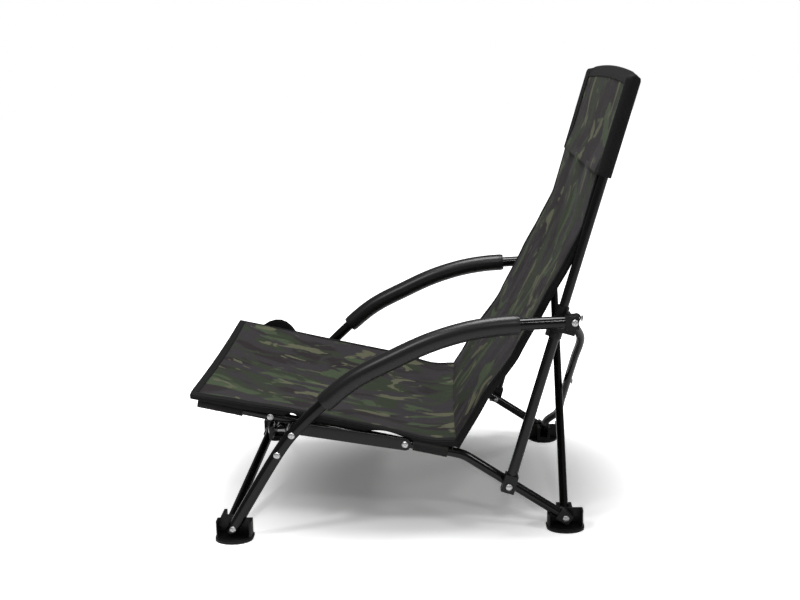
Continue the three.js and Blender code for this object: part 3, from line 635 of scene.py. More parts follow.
class Shape:
    """A mesh in the making. Most methods add one form to it."""

    cup_wall = 0.14
    rim_angle = 0.6

    def __init__(self) -> None:
        """Starts an empty shape."""
        self.bm = bmesh.new()

    @classmethod
    def of_node(cls, node: bpy.types.Object) -> "Shape":
        """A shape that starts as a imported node's solid, with its corners joined."""
        shape = cls()
        shape.bm.from_mesh(node.data)
        bmesh.ops.remove_doubles(shape.bm, verts=shape.bm.verts, dist=0.02 * MM)
        return shape

    def sweep(
        self,
        line: Sequence[Vector],
        radius: float,
        sides: int = 32,
        squeeze: Callable[[float], tuple[float, float]] | None = None,
        cup: float = 0.0,
        up: Vector = ACROSS,
    ) -> "Shape":
        """Draws a round section along a line and closes both ends.

        Args:
            line: the centre line.
            radius: the section's radius.
            sides: the section's sides.
            squeeze: for a share of the line, the section's scale along up and its scale across up.
            cup: how deep the ends are sunk, as a tube's are.
            up: a way that stays square to the line.

        Returns:
            This shape.
        """
        bm = self.bm
        places = []
        for index, point in enumerate(line):
            way = (line[min(index + 1, len(line) - 1)] - line[max(index - 1, 0)]).normalized()
            flat = (up - way * up.dot(way)).normalized()
            matrix = basis(flat, way.cross(flat), way, point)
            if squeeze:
                matrix = matrix @ Matrix.Diagonal((*squeeze(index / (len(line) - 1)), 1, 1))
            places.append(matrix)
        ring = bmesh.ops.create_circle(bm, segments=sides, radius=radius, matrix=places[0])["verts"]
        edges = list({e for v in ring for e in v.link_edges})
        first = edges
        for before, after in zip(places, places[1:]):
            made = bmesh.ops.extrude_edge_only(bm, edges=edges)["geom"]
            ring = [g for g in made if isinstance(g, bmesh.types.BMVert)]
            edges = [g for g in made if isinstance(g, bmesh.types.BMEdge) and set(g.verts) <= set(ring)]
            bmesh.ops.transform(bm, matrix=after @ before.inverted(), verts=ring)
        ends = bmesh.ops.edgeloop_fill(bm, edges=first)["faces"]
        ends += bmesh.ops.edgeloop_fill(bm, edges=edges)["faces"]
        bmesh.ops.recalc_face_normals(bm, faces=self.connected(ends[0]))
        if cup:
            for end in ends:
                bmesh.ops.inset_region(bm, faces=[end], thickness=radius * self.cup_wall)
                bmesh.ops.translate(bm, vec=-end.normal * cup, verts=end.verts)
        return self

    def connected(self, face: bmesh.types.BMFace) -> list[bmesh.types.BMFace]:
        """Every face joined to that face."""
        found, todo = {face}, [face]
        while todo:
            around = {other for edge in todo.pop().edges for other in edge.link_faces} - found
            found |= around
            todo += around
        return list(found)

    def rounded(self, edges: Sequence[bmesh.types.BMEdge], width: float) -> "Shape":
        """Rounds those edges."""
        bmesh.ops.bevel(
            self.bm, geom=edges, offset=width, segments=3, profile=0.5, affect="EDGES", material=-1,
            clamp_overlap=True,
        )
        return self

    def drum(self, radius: float, height: float, place: Matrix, bevel: float, sides: int) -> "Shape":
        """Adds a cylinder about place's Z, with rounded rims."""
        made = bmesh.ops.create_cone(
            self.bm, cap_ends=True, segments=sides, radius1=radius, radius2=radius, depth=height, matrix=place
        )["verts"]
        edges = {e for v in made for e in v.link_edges}
        return self.rounded([e for e in edges if any(len(f.verts) > 4 for f in e.link_faces)], bevel)

    def plate(self, outline: Sequence[Vector], depth: Vector, bevel: float) -> "Shape":
        """Adds the prism that an outline sweeps along depth, with rounded edges."""
        verts = [self.bm.verts.new(point) for point in outline]
        face = self.bm.faces.new(verts)
        made = bmesh.ops.extrude_face_region(self.bm, geom=[face])["geom"]
        moved = [g for g in made if isinstance(g, bmesh.types.BMVert)]
        bmesh.ops.translate(self.bm, vec=depth, verts=moved)
        bmesh.ops.recalc_face_normals(self.bm, faces=self.connected(verts[0].link_faces[0]))
        edges = {e for v in verts + moved for e in v.link_edges}
        return self.rounded([e for e in edges if e.calc_face_angle(0) > self.rim_angle], bevel)

    def lathe(self, profile: Sequence[tuple[float, float]], place: Matrix, sides: int = 32) -> "Shape":
        """Spins a profile of (radius, height) about place's Z."""
        verts = [self.bm.verts.new(place @ Vector((r, 0, h))) for r, h in profile]
        edges = [self.bm.edges.new(pair) for pair in zip(verts, verts[1:])]
        bmesh.ops.spin(
            self.bm, geom=verts + edges, cent=place.translation, axis=place.col[2].to_3d(), dvec=(0, 0, 0),
            angle=2 * math.pi, steps=sides, use_merge=True, use_duplicate=False,
        )
        bmesh.ops.remove_doubles(self.bm, verts=self.bm.verts, dist=TINY)
        bmesh.ops.recalc_face_normals(self.bm, faces=self.bm.faces)
        return self

    def sheet(
        self,
        surface: Callable[[float, float], Vector],
        cells: tuple[int, int],
        flat: tuple[float, float],
        span: tuple[float, float, float, float] = (0.0, 1.0, 0.0, 1.0),
    ) -> "Shape":
        """Lays a grid on a surface and gives it a map in metres of cloth.

        Args:
            surface: the point for a share across and a share along.
            cells: the grid's cells across and along.
            flat: the whole surface's flat width and length.
            span: the shares across and along at which the grid starts and ends.

        Returns:
            This shape.
        """
        verts = bmesh.ops.create_grid(self.bm, x_segments=cells[0], y_segments=cells[1], size=0.5)["verts"]
        layer = self.map_layer()
        left, right, low, high = span
        shares = {}
        for vert in verts:
            u, v = vert.co.x + 0.5, vert.co.y + 0.5
            shares[vert] = (left + (right - left) * u, low + (high - low) * v)
        for face in {f for v in verts for f in v.link_faces}:
            for loop in face.loops:
                u, v = shares[loop.vert]
                loop[layer].uv = (u * flat[0], v * flat[1])
        for vert, (u, v) in shares.items():
            vert.co = surface(u, v)
        return self

    def map_layer(self) -> bmesh.types.BMLayerItem:
        """The layer of the map in metres of cloth."""
        layers = self.bm.loops.layers.uv
        return layers.get("cloth") or layers.new("cloth")

    def unwrap(self, axes: tuple[int, int], scales: tuple[float, float] = (1.0, 1.0)) -> "Shape":
        """Maps every face by two of its corners' coordinates times the scales."""
        layer = self.map_layer()
        for face in self.bm.faces:
            for loop in face.loops:
                loop[layer].uv = [loop.vert.co[axis] * scale for axis, scale in zip(axes, scales)]
        return self

    def mirrored(self, hand: Hand) -> "Shape":
        """Turns a left-hand shape into that hand's."""
        if hand is Hand.RIGHT:
            bmesh.ops.scale(self.bm, vec=(-1, 1, 1), verts=self.bm.verts)
            bmesh.ops.reverse_faces(self.bm, faces=self.bm.faces)
        return self

    def piece(
        self, name: str, material: bpy.types.Material, body: str, slot: Slot, nodes: Sequence[str] = (),
        crease: float = 50.0, wall: float = 0.0,
    ) -> bpy.types.Object:
        """Ends the shape as an object that rides on a body.

        Args:
            name: the piece's name.
            material: its material.
            body: the body that it rides on.
            slot: the record's material slot; not used.
            nodes: the CAD nodes that it stands for.
            crease: the angle in degrees past which an edge stays sharp.
            wall: the thickness that a sheet gets, half to each side, or 0 for a closed form.

        Returns:
            The object.
        """
        for edge in self.bm.edges:
            edge.smooth = len(edge.link_faces) < 2 or edge.calc_face_angle(0) < math.radians(crease)
        for face in self.bm.faces:
            face.smooth = True
        mesh = bpy.data.meshes.new(name)
        self.bm.to_mesh(mesh)
        self.bm.free()
        mesh.materials.append(material)
        obj = bpy.data.objects.new(name, mesh)
        bpy.context.scene.collection.objects.link(obj)
        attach(obj, body)
        if nodes:
            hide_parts(*nodes)
        if wall:
            solid = obj.modifiers.new("thickness", "SOLIDIFY")
            solid.thickness = wall
            solid.offset = 0.0
            solid.use_even_offset = True
        LOG.info("%s on %s, %d faces", name, body, len(mesh.polygons))
        return obj


def soften(obj: bpy.types.Object, width: float, segments: int = 2, limit: float = 35.0) -> None:
    """Rounds a piece's edges that are sharper than limit degrees."""
    bevel = obj.modifiers.new("soft_edges", "BEVEL")
    bevel.width = width
    bevel.segments = segments
    bevel.limit_method = "ANGLE"
    bevel.angle_limit = math.radians(limit)
    bevel.harden_normals = True


@dataclass(frozen=True)
class RivetHead:
    """A domed rivet with a pressed centre. The dome's points are shares of its radius and its rise."""

    head: float = 6.25 * MM
    rise: float = 3.0 * MM
    shank: float = 2.9 * MM
    cut: float = 0.4 * MM
    clench: float = 1.5 * MM
    shoulder_least: float = 2 * MM
    dome: tuple = (
        (0.97, 0.0), (1.0, 0.35 / 3), (0.97, 0.3), (0.84, 0.62), (0.6, 0.88), (0.36, 0.99), (0.29, 1.0),
        (0.25, 0.9), (0.2, 0.78), (0.0, 0.74),
    )

    def profile(self, grip: float, tail: float, shoulder: float) -> list[tuple[float, float]]:
        """The rivet's outline from its inner end to the middle of its dome.

        Args:
            grip: the length of the shank.
            tail: the radius of the inner end, or 0 for a plain shank.
            shoulder: the length of an inner end that keeps two bars apart, or 0 for a clenched one.

        Returns:
            (radius, height) pairs, with the seat of the head at height 0.
        """
        cut, shank = self.cut, self.shank
        if shoulder:
            top = shoulder - grip
            low = [(0, -grip), (tail - cut, -grip), (tail, cut - grip)]
            low += [(tail, top - cut), (tail - cut, top), (shank, top)]
        elif tail:
            under = -grip - self.clench
            low = [(0, under), (tail * 0.8, under), (tail, under + cut + cut), (tail, -grip), (shank, -grip)]
        else:
            low = [(0, -grip), (shank, -grip)]
        return [*low, (shank, 0), *((self.head * out, self.rise * up) for out, up in self.dome)]

    def build(self, node: str, way: Vector, finishes: Finishes, frame: dict) -> None:
        """Builds the rivet in place of its node, whose solid gives its lengths.

        Args:
            node: the CAD node.
            way: the way that its head faces.
            finishes: the chair's materials.
            frame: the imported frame.
        """
        points = [v.co.copy() for v in frame["nodes"][node].data.vertices]
        reach = [p.dot(way) for p in points]
        top, low = max(reach), min(reach)
        rim = [p for p, r in zip(points, reach) if r < top - 0.6 * self.rise]
        centre = sum(rim, Vector()) / len(rim)
        centre += way * (top - self.rise - centre.dot(way))
        radii = [((p - centre) - way * (p - centre).dot(way)).length for p in points]
        wide = max(radius for radius, r in zip(radii, reach) if r < low + 1.4 * MM)
        tail = wide if wide > self.shank * 1.3 else 0.0
        inner = [r for radius, r in zip(radii, reach) if radius > 0.95 * wide and r < top - 2 * self.rise]
        shoulder = max(inner) - low if tail and max(inner) - low > self.shoulder_least else 0.0
        grip = top - self.rise - low - (self.clench if tail and not shoulder else 0.0)
        flat = ACROSS if ACROSS.cross(way).length > TINY else UP
        flat = (flat - way * flat.dot(way)).normalized()
        shape = Shape().lathe(self.profile(grip, tail, shoulder), basis(flat, way.cross(flat), way, centre))
        shape.piece(node + "_head", finishes.zinc, frame["nodes"][node]["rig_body"], Slot.RIVET, [node], 60.0)


@dataclass
class SideFrame:
    """One side of the chair: arm, seat rail with rear leg, link, upright and their mouldings.

    Sizes are in millimetres. A tube of the upright is its radius and the rises of its two ends, and a
    moulding has the radius of its rounded edges.
    """

    hand: Hand
    frame: dict
    finishes: Finishes
    arm_radius: float = 11
    arm_steps: int = 72
    grip_radius: float = 18
    grip_shares: tuple = (0.384, 0.872)
    grip_steps: int = 60
    grip_end: tuple = (0.012, 0.93)
    rail_radius: float = 9
    lower_tube: tuple = (9.5, -10.8, 302)
    upper_tube: tuple = (8.4, 260, 762)
    cup: float = 3
    link_half: float = 11.5
    link_wall: float = 4
    link_edge: float = 0.7
    link_steps: int = 16
    pin_radius: float = 3
    pin_edge: float = 0.4
    mouldings: tuple = (
        ("arm_end_plug", 2.2), ("leg_end_plug", 2.2), ("upright_foot_plug", 2.2), ("stop_collar", 0.8),
        ("slider", 1.0), ("brace_knee", 1.4), ("front_foot", 0.9), ("rear_foot", 0.9),
    )
    rivets: tuple = (
        "front_foot", "leg_stop", "link_front", "arm_rear", "link_rear", "knee", "upright_foot", "rear_foot",
    )

    def name(self, part: str) -> str:
        """This side's name of a node or body."""
        return f"{self.hand.label}_{part}"

    def at(self, x: float, points: Sequence[Vector]) -> list[Vector]:
        """Side points moved out to x millimetres."""
        return [point + ACROSS * x * MM for point in points]

    def tube(self, part: str, body: str, shape: Shape) -> None:
        """Ends a coated tube that stands for that node."""
        name = self.name(part)
        shape.mirrored(self.hand)
        shape.piece(name + "_tube", self.finishes.tube, self.name(body), Slot.FRAME, [name])

    def arm(self) -> None:
        """Builds the arm tube and its foam grip."""
        line = self.at(LINES.arm_x, LINES.arm_line(self.arm_steps))
        self.tube("arm_tube", "arm", Shape().sweep(line, self.arm_radius * MM, cup=self.cup * MM))
        grip = part_of(line, *self.grip_shares, self.grip_steps)
        shape = Shape().sweep(grip, self.grip_radius * MM, 40, self.roll).mirrored(self.hand)
        foam = shape.piece(
            self.name("foam_grip"), self.finishes.foam, self.name("arm"), Slot.FOAM, [self.name("arm_grip")],
            crease=70.0,
        )

    def roll(self, share: float) -> tuple[float, float]:
        """The foam's share of its full radius, which is less near its cut ends, for sweep."""
        length, least = self.grip_end
        end = min(1.0, min(share, 1.0 - share) / length)
        size = least + (1 - least) * math.sqrt(max(0.0, 1 - (1 - end) ** 2))
        return size, size

    def rail(self) -> None:
        """Builds the seat rail with its rear leg."""
        line = self.at(LINES.rail_x, LINES.rail_line())
        self.tube("seat_rail", "rail", Shape().sweep(line, self.rail_radius * MM, cup=self.cup * MM))

    def upright(self) -> None:
        """Builds the two tubes of the upright."""
        for part, sizes, cup in (("lower", self.lower_tube, 0.0), ("upper", self.upper_tube, self.cup)):
            radius, *rises = sizes
            line = self.at(LINES.upright_x, [LINES.on_upright(rise) for rise in rises])
            self.tube("upright_" + part, "upright", Shape().sweep(line, radius * MM, cup=cup * MM))

    def link(self) -> None:
        """Builds the flat link bar."""
        start = LINES.arm_point(LINES.arm_shares[1])
        end = LINES.on_rail(LINES.link_reach)
        way = (end - start).normalized()
        square = way.cross(ACROSS)
        half, low = self.link_half * MM, (LINES.link_x - self.link_wall / 2) * MM
        outline = []
        for centre, first in ((start, 90.0), (end, -90.0)):
            for step in range(self.link_steps + 1):
                angle = math.radians(first + 180.0 * step / self.link_steps)
                spot = centre + way * math.cos(angle) * half + square * math.sin(angle) * half
                outline.append(spot + ACROSS * low)
        shape = Shape().plate(outline, ACROSS * self.link_wall * MM, self.link_edge * MM)
        self.tube("link_bar", "link", shape)

    def moulding(self, part: str, radius: float) -> None:
        """Keeps a plastic part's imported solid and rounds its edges."""
        name = self.name(part)
        source = self.frame["nodes"][name]
        shape = Shape.of_node(source)
        bm = shape.bm
        bmesh.ops.dissolve_limit(bm, angle_limit=math.radians(2), verts=bm.verts, edges=bm.edges)
        for layer in list(bm.loops.layers.uv):
            bm.loops.layers.uv.remove(layer)
        obj = shape.piece(name + "_moulding", self.finishes.moulding, source["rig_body"], Slot.PLASTIC, [name])
        soften(obj, radius * MM)

    def top_pin(self) -> None:
        """Builds the plain pin inside the top of the front brace."""
        node = self.name("brace_top_pin")
        points = [v.co for v in self.frame["nodes"][node].data.vertices]
        low, high = (Vector(map(pick, zip(*points))) for pick in (min, max))
        place = basis(ACROSS, REARWARD.cross(ACROSS), REARWARD, (low + high) / 2)
        shape = Shape().drum(self.pin_radius * MM, high.y - low.y, place, self.pin_edge * MM, 32)
        shape.piece(node + "_plain", self.finishes.zinc, self.name("brace_top"), Slot.RIVET, [node])

    def build(self) -> None:
        """Builds the whole side."""
        self.arm()
        self.rail()
        self.upright()
        self.link()
        for part, radius in self.mouldings:
            self.moulding(part, radius)
        for part in self.rivets:
            RivetHead().build(self.name(part) + "_rivet", ACROSS * self.hand.value, self.finishes, self.frame)
        RivetHead().build(self.name("knee_plate_rivet"), -REARWARD, self.finishes, self.frame)
        self.top_pin()


@dataclass
class BracePair:
    """Two crossed braces that turn on pins along one pivot way. Sizes are in millimetres.

    The right brace may bow along the pivot to pass the left one, by shares of its length and of the bow.
    """

    name: str
    pin_x: float
    foot: Vector
    top: Vector
    pivot: Vector
    radius: float
    offsets: tuple[float, float]
    pin_length: float
    bow: float = 0.0
    overrun: float = 4.5
    cup: float = 2
    straight_steps: int = 24
    bowed_steps: int = 72
    pin_radius: float = 3
    pin_edge: float = 0.3
    bow_shares: tuple = (
        (0.05, 0), (0.11, 0), (0.2, 0.96), (0.34, 1), (0.5, 1), (0.7, 1), (0.86, 0.98), (0.95, 0.05),
    )

    def place(self, hand: Hand, share: float, offset: float) -> Vector:
        """A point of the brace that starts at that hand's foot."""
        point = self.foot.lerp(self.top, share) + self.pivot * offset * MM
        return point + ACROSS * (hand.value * self.pin_x * (1 - 2 * share) * MM)

    def line(self, hand: Hand, offset: float, bow: float) -> list[Vector]:
        """The centre line of one brace."""
        foot, top = self.place(hand, 0, offset), self.place(hand, 1, offset)
        way = (top - foot).normalized()
        start, end = foot - way * self.radius * MM, top + way * self.overrun * MM
        if not bow:
            return [start.lerp(end, step / self.straight_steps) for step in range(self.straight_steps + 1)]
        inner = [self.place(hand, share, offset + bow * depth) for share, depth in self.bow_shares]
        return smooth_curve([start, foot, *inner, top, end], self.bowed_steps)

    def build(self, finishes: Finishes, frame: dict) -> None:
        """Builds both braces with their foot pins."""
        flat = self.pivot.cross(ACROSS).normalized()
        for hand, offset in zip(Hand, self.offsets):
            node = f"{self.name}_brace_from_{hand.label}"
            line = self.line(hand, offset, self.bow if hand is Hand.RIGHT else 0.0)
            shape = Shape().sweep(line, self.radius * MM, cup=self.cup * MM, up=self.pivot)
            place = basis(ACROSS, flat, ACROSS.cross(flat), self.place(hand, 0, offset))
            shape.drum(self.pin_radius * MM, self.pin_length * MM, place, self.pin_edge * MM, 24)
            shape.piece(node + "_tube", finishes.tube, node, Slot.FRAME, [node])


@dataclass(frozen=True)
class Folds:
    """Soft folds side by side on a cloth.

    The depth is in millimetres. The turns are half waves from the middle to an edge, and the drift is
    how far they slip sideways along the cloth. They rise and fall between two shares of its length.
    """

    depth: float
    turns: float
    drift: float
    phase: float
    rise: tuple
    fall: tuple = (2.0, 3.0)

    def height(self, across: float, v: float) -> float:
        """Their height at a place, with across from -1 to 1 and v from 0 to 1."""
        wave = math.sin(across * self.turns * math.pi + self.phase + self.drift * v)
        return self.depth * wave * smooth(v, *self.rise) * (1 - smooth(v, *self.fall))


@dataclass(frozen=True)
class Cloth:
    """Sizes and surfaces of the seat, back and head cloths.

    Lengths are in millimetres. A run or a side is the two shares of the cloth's length, or of its half
    width, between which something eases in.
    """

    rail_half: float = 266.0
    overhang: float = 15.0
    rail_wrap: float = 5.0
    tuck_end: float = 96.0
    near_edge_rise: float = 7.0
    front_near_rise: float = 3.0
    far_edge_rise: float = 13.0
    front_run: tuple = (0.0, 0.2)
    rear_edge_run: tuple = (0.72, 0.95)
    rear_edge_drop: float = 0.7
    curl_run: tuple = (0.86, 1.0)
    rear_run: float = 15.0
    rear_rise: float = 11.0
    seat_sag: float = 17.0
    sag_inset: float = 18.0
    sag_start: float = 0.02
    droop: float = 2.0
    seat_front: float = 12.0
    seat_back: float = 24.0
    stand_off: float = 12.0
    seat_folds: tuple = (
        Folds(2.5, 5, 2, 0, (0.6, 0.92), (0.9, 1.0)), Folds(0.9, 13, 9, 0, (0.45, 0.9), (0.9, 1.0)),
    )
    skirt_end: float = 7.4
    skirt_lift: float = 0.35
    skirt_out: tuple = (0.8, 1.2)
    skirt_gaps: tuple = ((0.66, 0.2, 0.9), (0.36, 0.06, 0.72))
    back_bottom: float = 40.0
    back_top: float = 591.4
    back_stand_off: float = 106.0
    back_clear: float = 11.3
    back_sag: float = 8.0
    crease_half: float = 272.0
    edge_lift: float = 4.0
    spread_run: tuple = (0, 0.8)
    back_shares: tuple = ((0, 1), (0.18, 0.77), (0.36, 0.46), (0.56, 0.25), (0.70, 0.11), (0.82, 0), (1, 0))
    roundness: float = 0.3
    back_folds: tuple = (
        Folds(2.6, 4.2, 3, 2, (0.0, 0.12), (0.15, 0.6)), Folds(1.0, 9, 11, 0, (0.0, 0.12), (0.15, 0.6)),
        Folds(3.0, 3.1, 5, 0.8, (0.5, 0.75)),
    )
    hem_radius: float = 6.8
    hem_gap: float = 7.4
    hem_lap: float = 0.3
    pocket_low: float = 588.0
    pocket_height: float = 180.0
    pocket_radius: float = 10.9
    pocket_depth: float = 5.2
    pocket_side: tuple = (0.86, 0.99)
    pocket_reach: float = 1.04
    lap: float = 8.5
    lap_run: tuple = (0.02, 0.3)
    lap_side: tuple = (0.86, 0.96)
    corner_side: tuple = (0.84, 0.95)
    corner_run: tuple = (0.8, 1.0)
    corner_drop: float = 2.5
    pocket_arch: float = 9.0
    close_from: tuple = (0.9, 0.07)
    close_share: float = 0.9
    proud_run: tuple = (0.95, 1.0)
    band_proud: float = 1.3
    sleeve_proud: float = 1.9

    @property
    def seat_reach(self) -> float:
        """The seat's length from its rear edge to its front edge."""
        return LINES.seat_length + self.seat_front - self.seat_back

    def beside_seat(self, v: float) -> Vector:
        """The rails' centre line beside the seat at v."""
        curl = smooth(v, *self.curl_run)
        return LINES.on_rail(self.seat_back + self.seat_reach * (1 - v) - self.rear_run * curl)

    def seat(self, u: float, v: float) -> Vector:
        """A point of the seat, with v at 0 on the front edge."""
        end = self.tuck_end / self.seat_reach
        across = 2 * u - 1
        tuck = smooth(v, end, 2 * end)
        x = across * (self.rail_half + self.overhang * (1 - tuck) + self.rail_wrap * tuck)
        over = max(0.0, abs(x) - self.rail_half) / self.overhang
        curl = smooth(v, *self.curl_run)
        span = max(0.0, 1 - (x / (self.rail_half - self.sag_inset)) ** 2)
        sag = self.seat_sag * span * math.sqrt(swell(v * (1 - self.sag_start) + self.sag_start))
        folds = sum(fold.height(across, v) for fold in self.seat_folds) * math.sqrt(span)
        edge = (self.near_edge_rise if across > 0 else self.far_edge_rise) * across * across
        level = self.front_near_rise + (self.far_edge_rise - self.front_near_rise) * (1 - across) / 2
        edge += (level - edge) * (1 - smooth(v, *self.front_run))
        edge *= 1 - self.rear_edge_drop * smooth(v, *self.rear_edge_run)
        rise = self.stand_off + edge - sag - self.droop * over * over + folds
        return self.beside_seat(v) + Vector((x, 0, rise + self.rear_rise * curl * curl)) * MM

    def skirt(self, hand: Hand, u: float, v: float) -> Vector:
        """A point of the hem that hangs from one side of the seat, with u at 0 on the seat's edge."""
        edge = self.seat(1.0 if hand is Hand.LEFT else 0.0, v)
        drop = max(0.0, edge.z - self.beside_seat(v).z - self.skirt_end * MM)
        drop *= 1 - self.skirt_lift * smooth(v, *self.curl_run)
        if hand is Hand.LEFT:
            drop *= 1 - max(depth * swell((v - start) / run) for start, run, depth in self.skirt_gaps)
        least, bulge = self.skirt_out
        return edge + Vector((hand.value * (bulge * swell(u) + least) * MM, 0, -drop * u))

    def back_gap(self, v: float) -> float:
        """How far the back stands before the uprights at v."""
        share = min(1.0, max(0.0, v))
        pairs = self.back_shares
        index = next((i for i in range(1, len(pairs)) if pairs[i][0] >= share), len(pairs) - 1)
        (start, low), (end, high) = pairs[index - 1], pairs[index]
        straight = (1 - self.roundness) * (share - start) / (end - start)
        part = smooth(share, start, end) * self.roundness + straight
        return self.back_stand_off * (low + (high - low) * part) + self.back_clear

    def back(self, u: float, v: float) -> Vector:
        """A point of the back, with v at 0 on the crease."""
        across = 2 * u - 1
        rise = self.back_bottom + (self.back_top - self.back_bottom) * v
        sag = self.back_sag * (1 - across * across) * swell(v)
        folds = sum(fold.height(across, v) for fold in self.back_folds)
        spread = LINES.upright_x - self.edge_lift - self.crease_half
        half = self.crease_half + spread * smooth(v, *self.spread_run)
        return LINES.on_upright(rise, sag - self.back_gap(v) + folds) + ACROSS * across * half * MM

    def hem_half(self, share: float) -> float:
        """Half the depth of the back's hem, which reaches back to the upright where that is near."""
        return min(self.hem_radius, (self.back_gap(share) - self.hem_gap) / 2 + self.hem_lap)

    def pocket(self, u: float, v: float, proud: float = 0.0) -> Vector:
        """A point of the head pocket.

        Args:
            u: the share of the way round the pocket.
            v: the share of the way up it.
            proud: how far outside the pocket's cloth it stands.

        Returns:
            The point.
        """
        angle = 2 * math.pi * u
        across, front = math.cos(angle), math.sin(angle) <= 0
        wide = abs(across)
        radius = self.pocket_radius + proud
        depth = self.pocket_depth + proud
        depth += (self.pocket_radius - self.pocket_depth) * smooth(wide, *self.pocket_side)
        if front:
            depth += self.lap * (1 - smooth(v, *self.lap_run)) * (1 - smooth(wide, *self.lap_side))
        x = max(-1.0, min(1.0, across * self.pocket_reach)) * LINES.upright_x
        back = -depth if front else depth
        bend = 1 / self.pocket_reach
        if wide > bend:
            turn = math.acos(min(1.0, (wide - bend) / (1 - bend)))
            x = math.copysign(LINES.upright_x + radius * math.cos(turn), across)
            back = radius * math.sin(turn) * (-1 if front else 1)
        corner = smooth(wide, *self.corner_side)
        start, later = self.close_from
        close = 1 - self.close_share * smooth(v, start + later * corner, 1.0)
        arch = self.pocket_arch * v * (1 - min(1.0, wide) ** 2)
        drop = self.corner_drop * smooth(v, *self.corner_run) * corner
        rise = self.pocket_low + self.pocket_height * v + arch + proud * smooth(v, *self.proud_run) - drop
        return LINES.on_upright(rise, back * close) + ACROSS * x * MM


@dataclass
class Upholstery:
    """The seat, back, head pocket and side pocket.

    Flat sizes are in metres. A gather is a cloth's half width when open and when folded, in metres. The
    other sizes are in millimetres.
    """

    frame: dict
    finishes: Finishes
    cloth: Cloth = Cloth()
    fold_shift: float = 0.19276
    seat_flat: tuple = (0.562, 0.49)
    seat_gather: tuple = (0.281, 0.0826)
    skirt_flat: tuple = (0.014, 0.49)
    back_flat: tuple = (0.562, 0.575)
    back_span: tuple = (0.0, 1.0, -0.012, 1.012)
    back_gather: tuple = (0.2824, 0.0565)
    head_flat: tuple = (1.17, 0.18)
    head_gather: tuple = (0.2795, 0.0855)
    head_panels: tuple = ((0.0586, 0.4414), (0.5586, 0.9414))
    head_ends: tuple = ((Hand.LEFT, -0.0735, 0.0735), (Hand.RIGHT, 0.4265, 0.5735))
    band_low: float = 0.88
    cloth_wall: float = 1.6
    head_wall: float = 1.4
    trim_wall: float = 1.0
    skirt_wall: float = 2.2
    tape_wall: float = 3.6
    tape_lap: float = 0.8
    tape_cells: tuple = (4, 90)
    sleeve_radius: float = 11.6
    sleeve_steps: int = 12
    sleeves: tuple = (("front", 414.0, 84.0), ("rear", 30.0, 64.0))
    hem_steps: int = 60
    hem_flat: float = 0.4
    hem_set: tuple = (0.6, 2)
    pocket_edge: float = 1.0

    def sewn(
        self, shape: Shape, name: str, body: str, wall: float = 0.0, finish: bpy.types.Material | None = None,
        nodes: Sequence[str] = (), crease: float = 80.0,
    ) -> bpy.types.Object:
        """Ends a shape as a piece of cloth or, where no finish is given, of binding.

        Args:
            shape: its shape.
            name: the piece's name.
            body: the body that it rides on.
            wall: its thickness in millimetres, or 0 for a closed form.
            finish: its material.
            nodes: the CAD nodes that it stands for.
            crease: the angle in degrees past which an edge stays sharp.

        Returns:
            The piece.
        """
        return shape.piece(name, finish or self.finishes.tape, body, Slot.CAMO, nodes, crease, wall * MM)

    def gather(self, pieces: Sequence[bpy.types.Object], widths: tuple[float, float]) -> None:
        """Gives each cloth its own copy of its mesh.

        Args:
            pieces: the cloths.
            widths: their half width when open and when folded; not used.
        """
        for piece in pieces:
            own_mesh(piece)

    def strips(
        self, name: str, surface: Callable[[float, float], Vector], flat: tuple[float, float], body: str,
        widths: dict[str, float],
    ) -> bpy.types.Object:
        """Builds the binding along some edges of a cloth.

        Args:
            name: the piece's name.
            surface: the cloth's surface.
            flat: its flat width and length.
            body: the body that it rides on.
            widths: the tape's width for each of left, right and low that is bound.

        Returns:
            The binding.
        """
        left, right = (widths.get(edge, 0.0) * MM / flat[0] for edge in ("left", "right"))
        low = widths.get("low", 0.0) * MM / flat[1]
        out_a, out_b = (self.tape_lap * MM / size for size in flat)
        few, many = self.tape_cells
        spans = {
            "right": ((-out_a, right, -out_b, 1 + out_b), (few, many)),
            "left": ((1 - left, 1 + out_a, -out_b, 1 + out_b), (few, many)),
            "low": ((right, 1 - left, -out_b, low), (many, few)),
        }
        shape = Shape()
        for edge in widths:
            span, cells = spans[edge]
            shape.sheet(surface, cells, flat, span)
        bmesh.ops.remove_doubles(shape.bm, verts=shape.bm.verts, dist=0.01 * MM)
        return self.sewn(shape, name, body, self.tape_wall)

    def seat(self) -> None:
        """Builds the seat sling, its binding, its side hems and its four corner sleeves."""
        flat, body = self.seat_flat, "left_rail"
        shape = Shape().sheet(self.cloth.seat, (96, 84), flat)
        cloth = self.sewn(shape, "seat_cloth", body, self.cloth_wall, self.finishes.cloth, ["seat_sling"])
        widths = {"left": 14, "right": 10, "low": 13}
        trim = [self.strips("seat_binding", self.cloth.seat, flat, body, widths)]
        for hand in Hand:
            shape = Shape().sheet(partial(self.cloth.skirt, hand), (6, 120), self.skirt_flat)
            trim.append(self.sewn(shape, f"{hand.label}_seat_skirt", body, self.skirt_wall))
        self.gather([cloth, *trim], self.seat_gather)
        for hand in Hand:
            for part, start, length in self.sleeves:
                self.sleeve(hand, part, start, length)

    def sleeve(self, hand: Hand, part: str, start: float, length: float) -> None:
        """Builds one corner sleeve round a rail."""
        line = []
        for step in range(self.sleeve_steps + 1):
            line.append(LINES.on_rail(start + length * step / self.sleeve_steps) + ACROSS * LINES.rail_x * MM)
        shape = Shape().sweep(line, self.sleeve_radius * MM, squeeze=self.rucked).unwrap((2, 1), (1.4, 1.0))
        # the sleeves wear the copy of the print with painted shade
        self.sewn(
            shape.mirrored(hand), f"{hand.label}_{part}_sleeve", f"{hand.label}_rail",
            finish=self.finishes.dark_cloth, crease=70.0,
        )

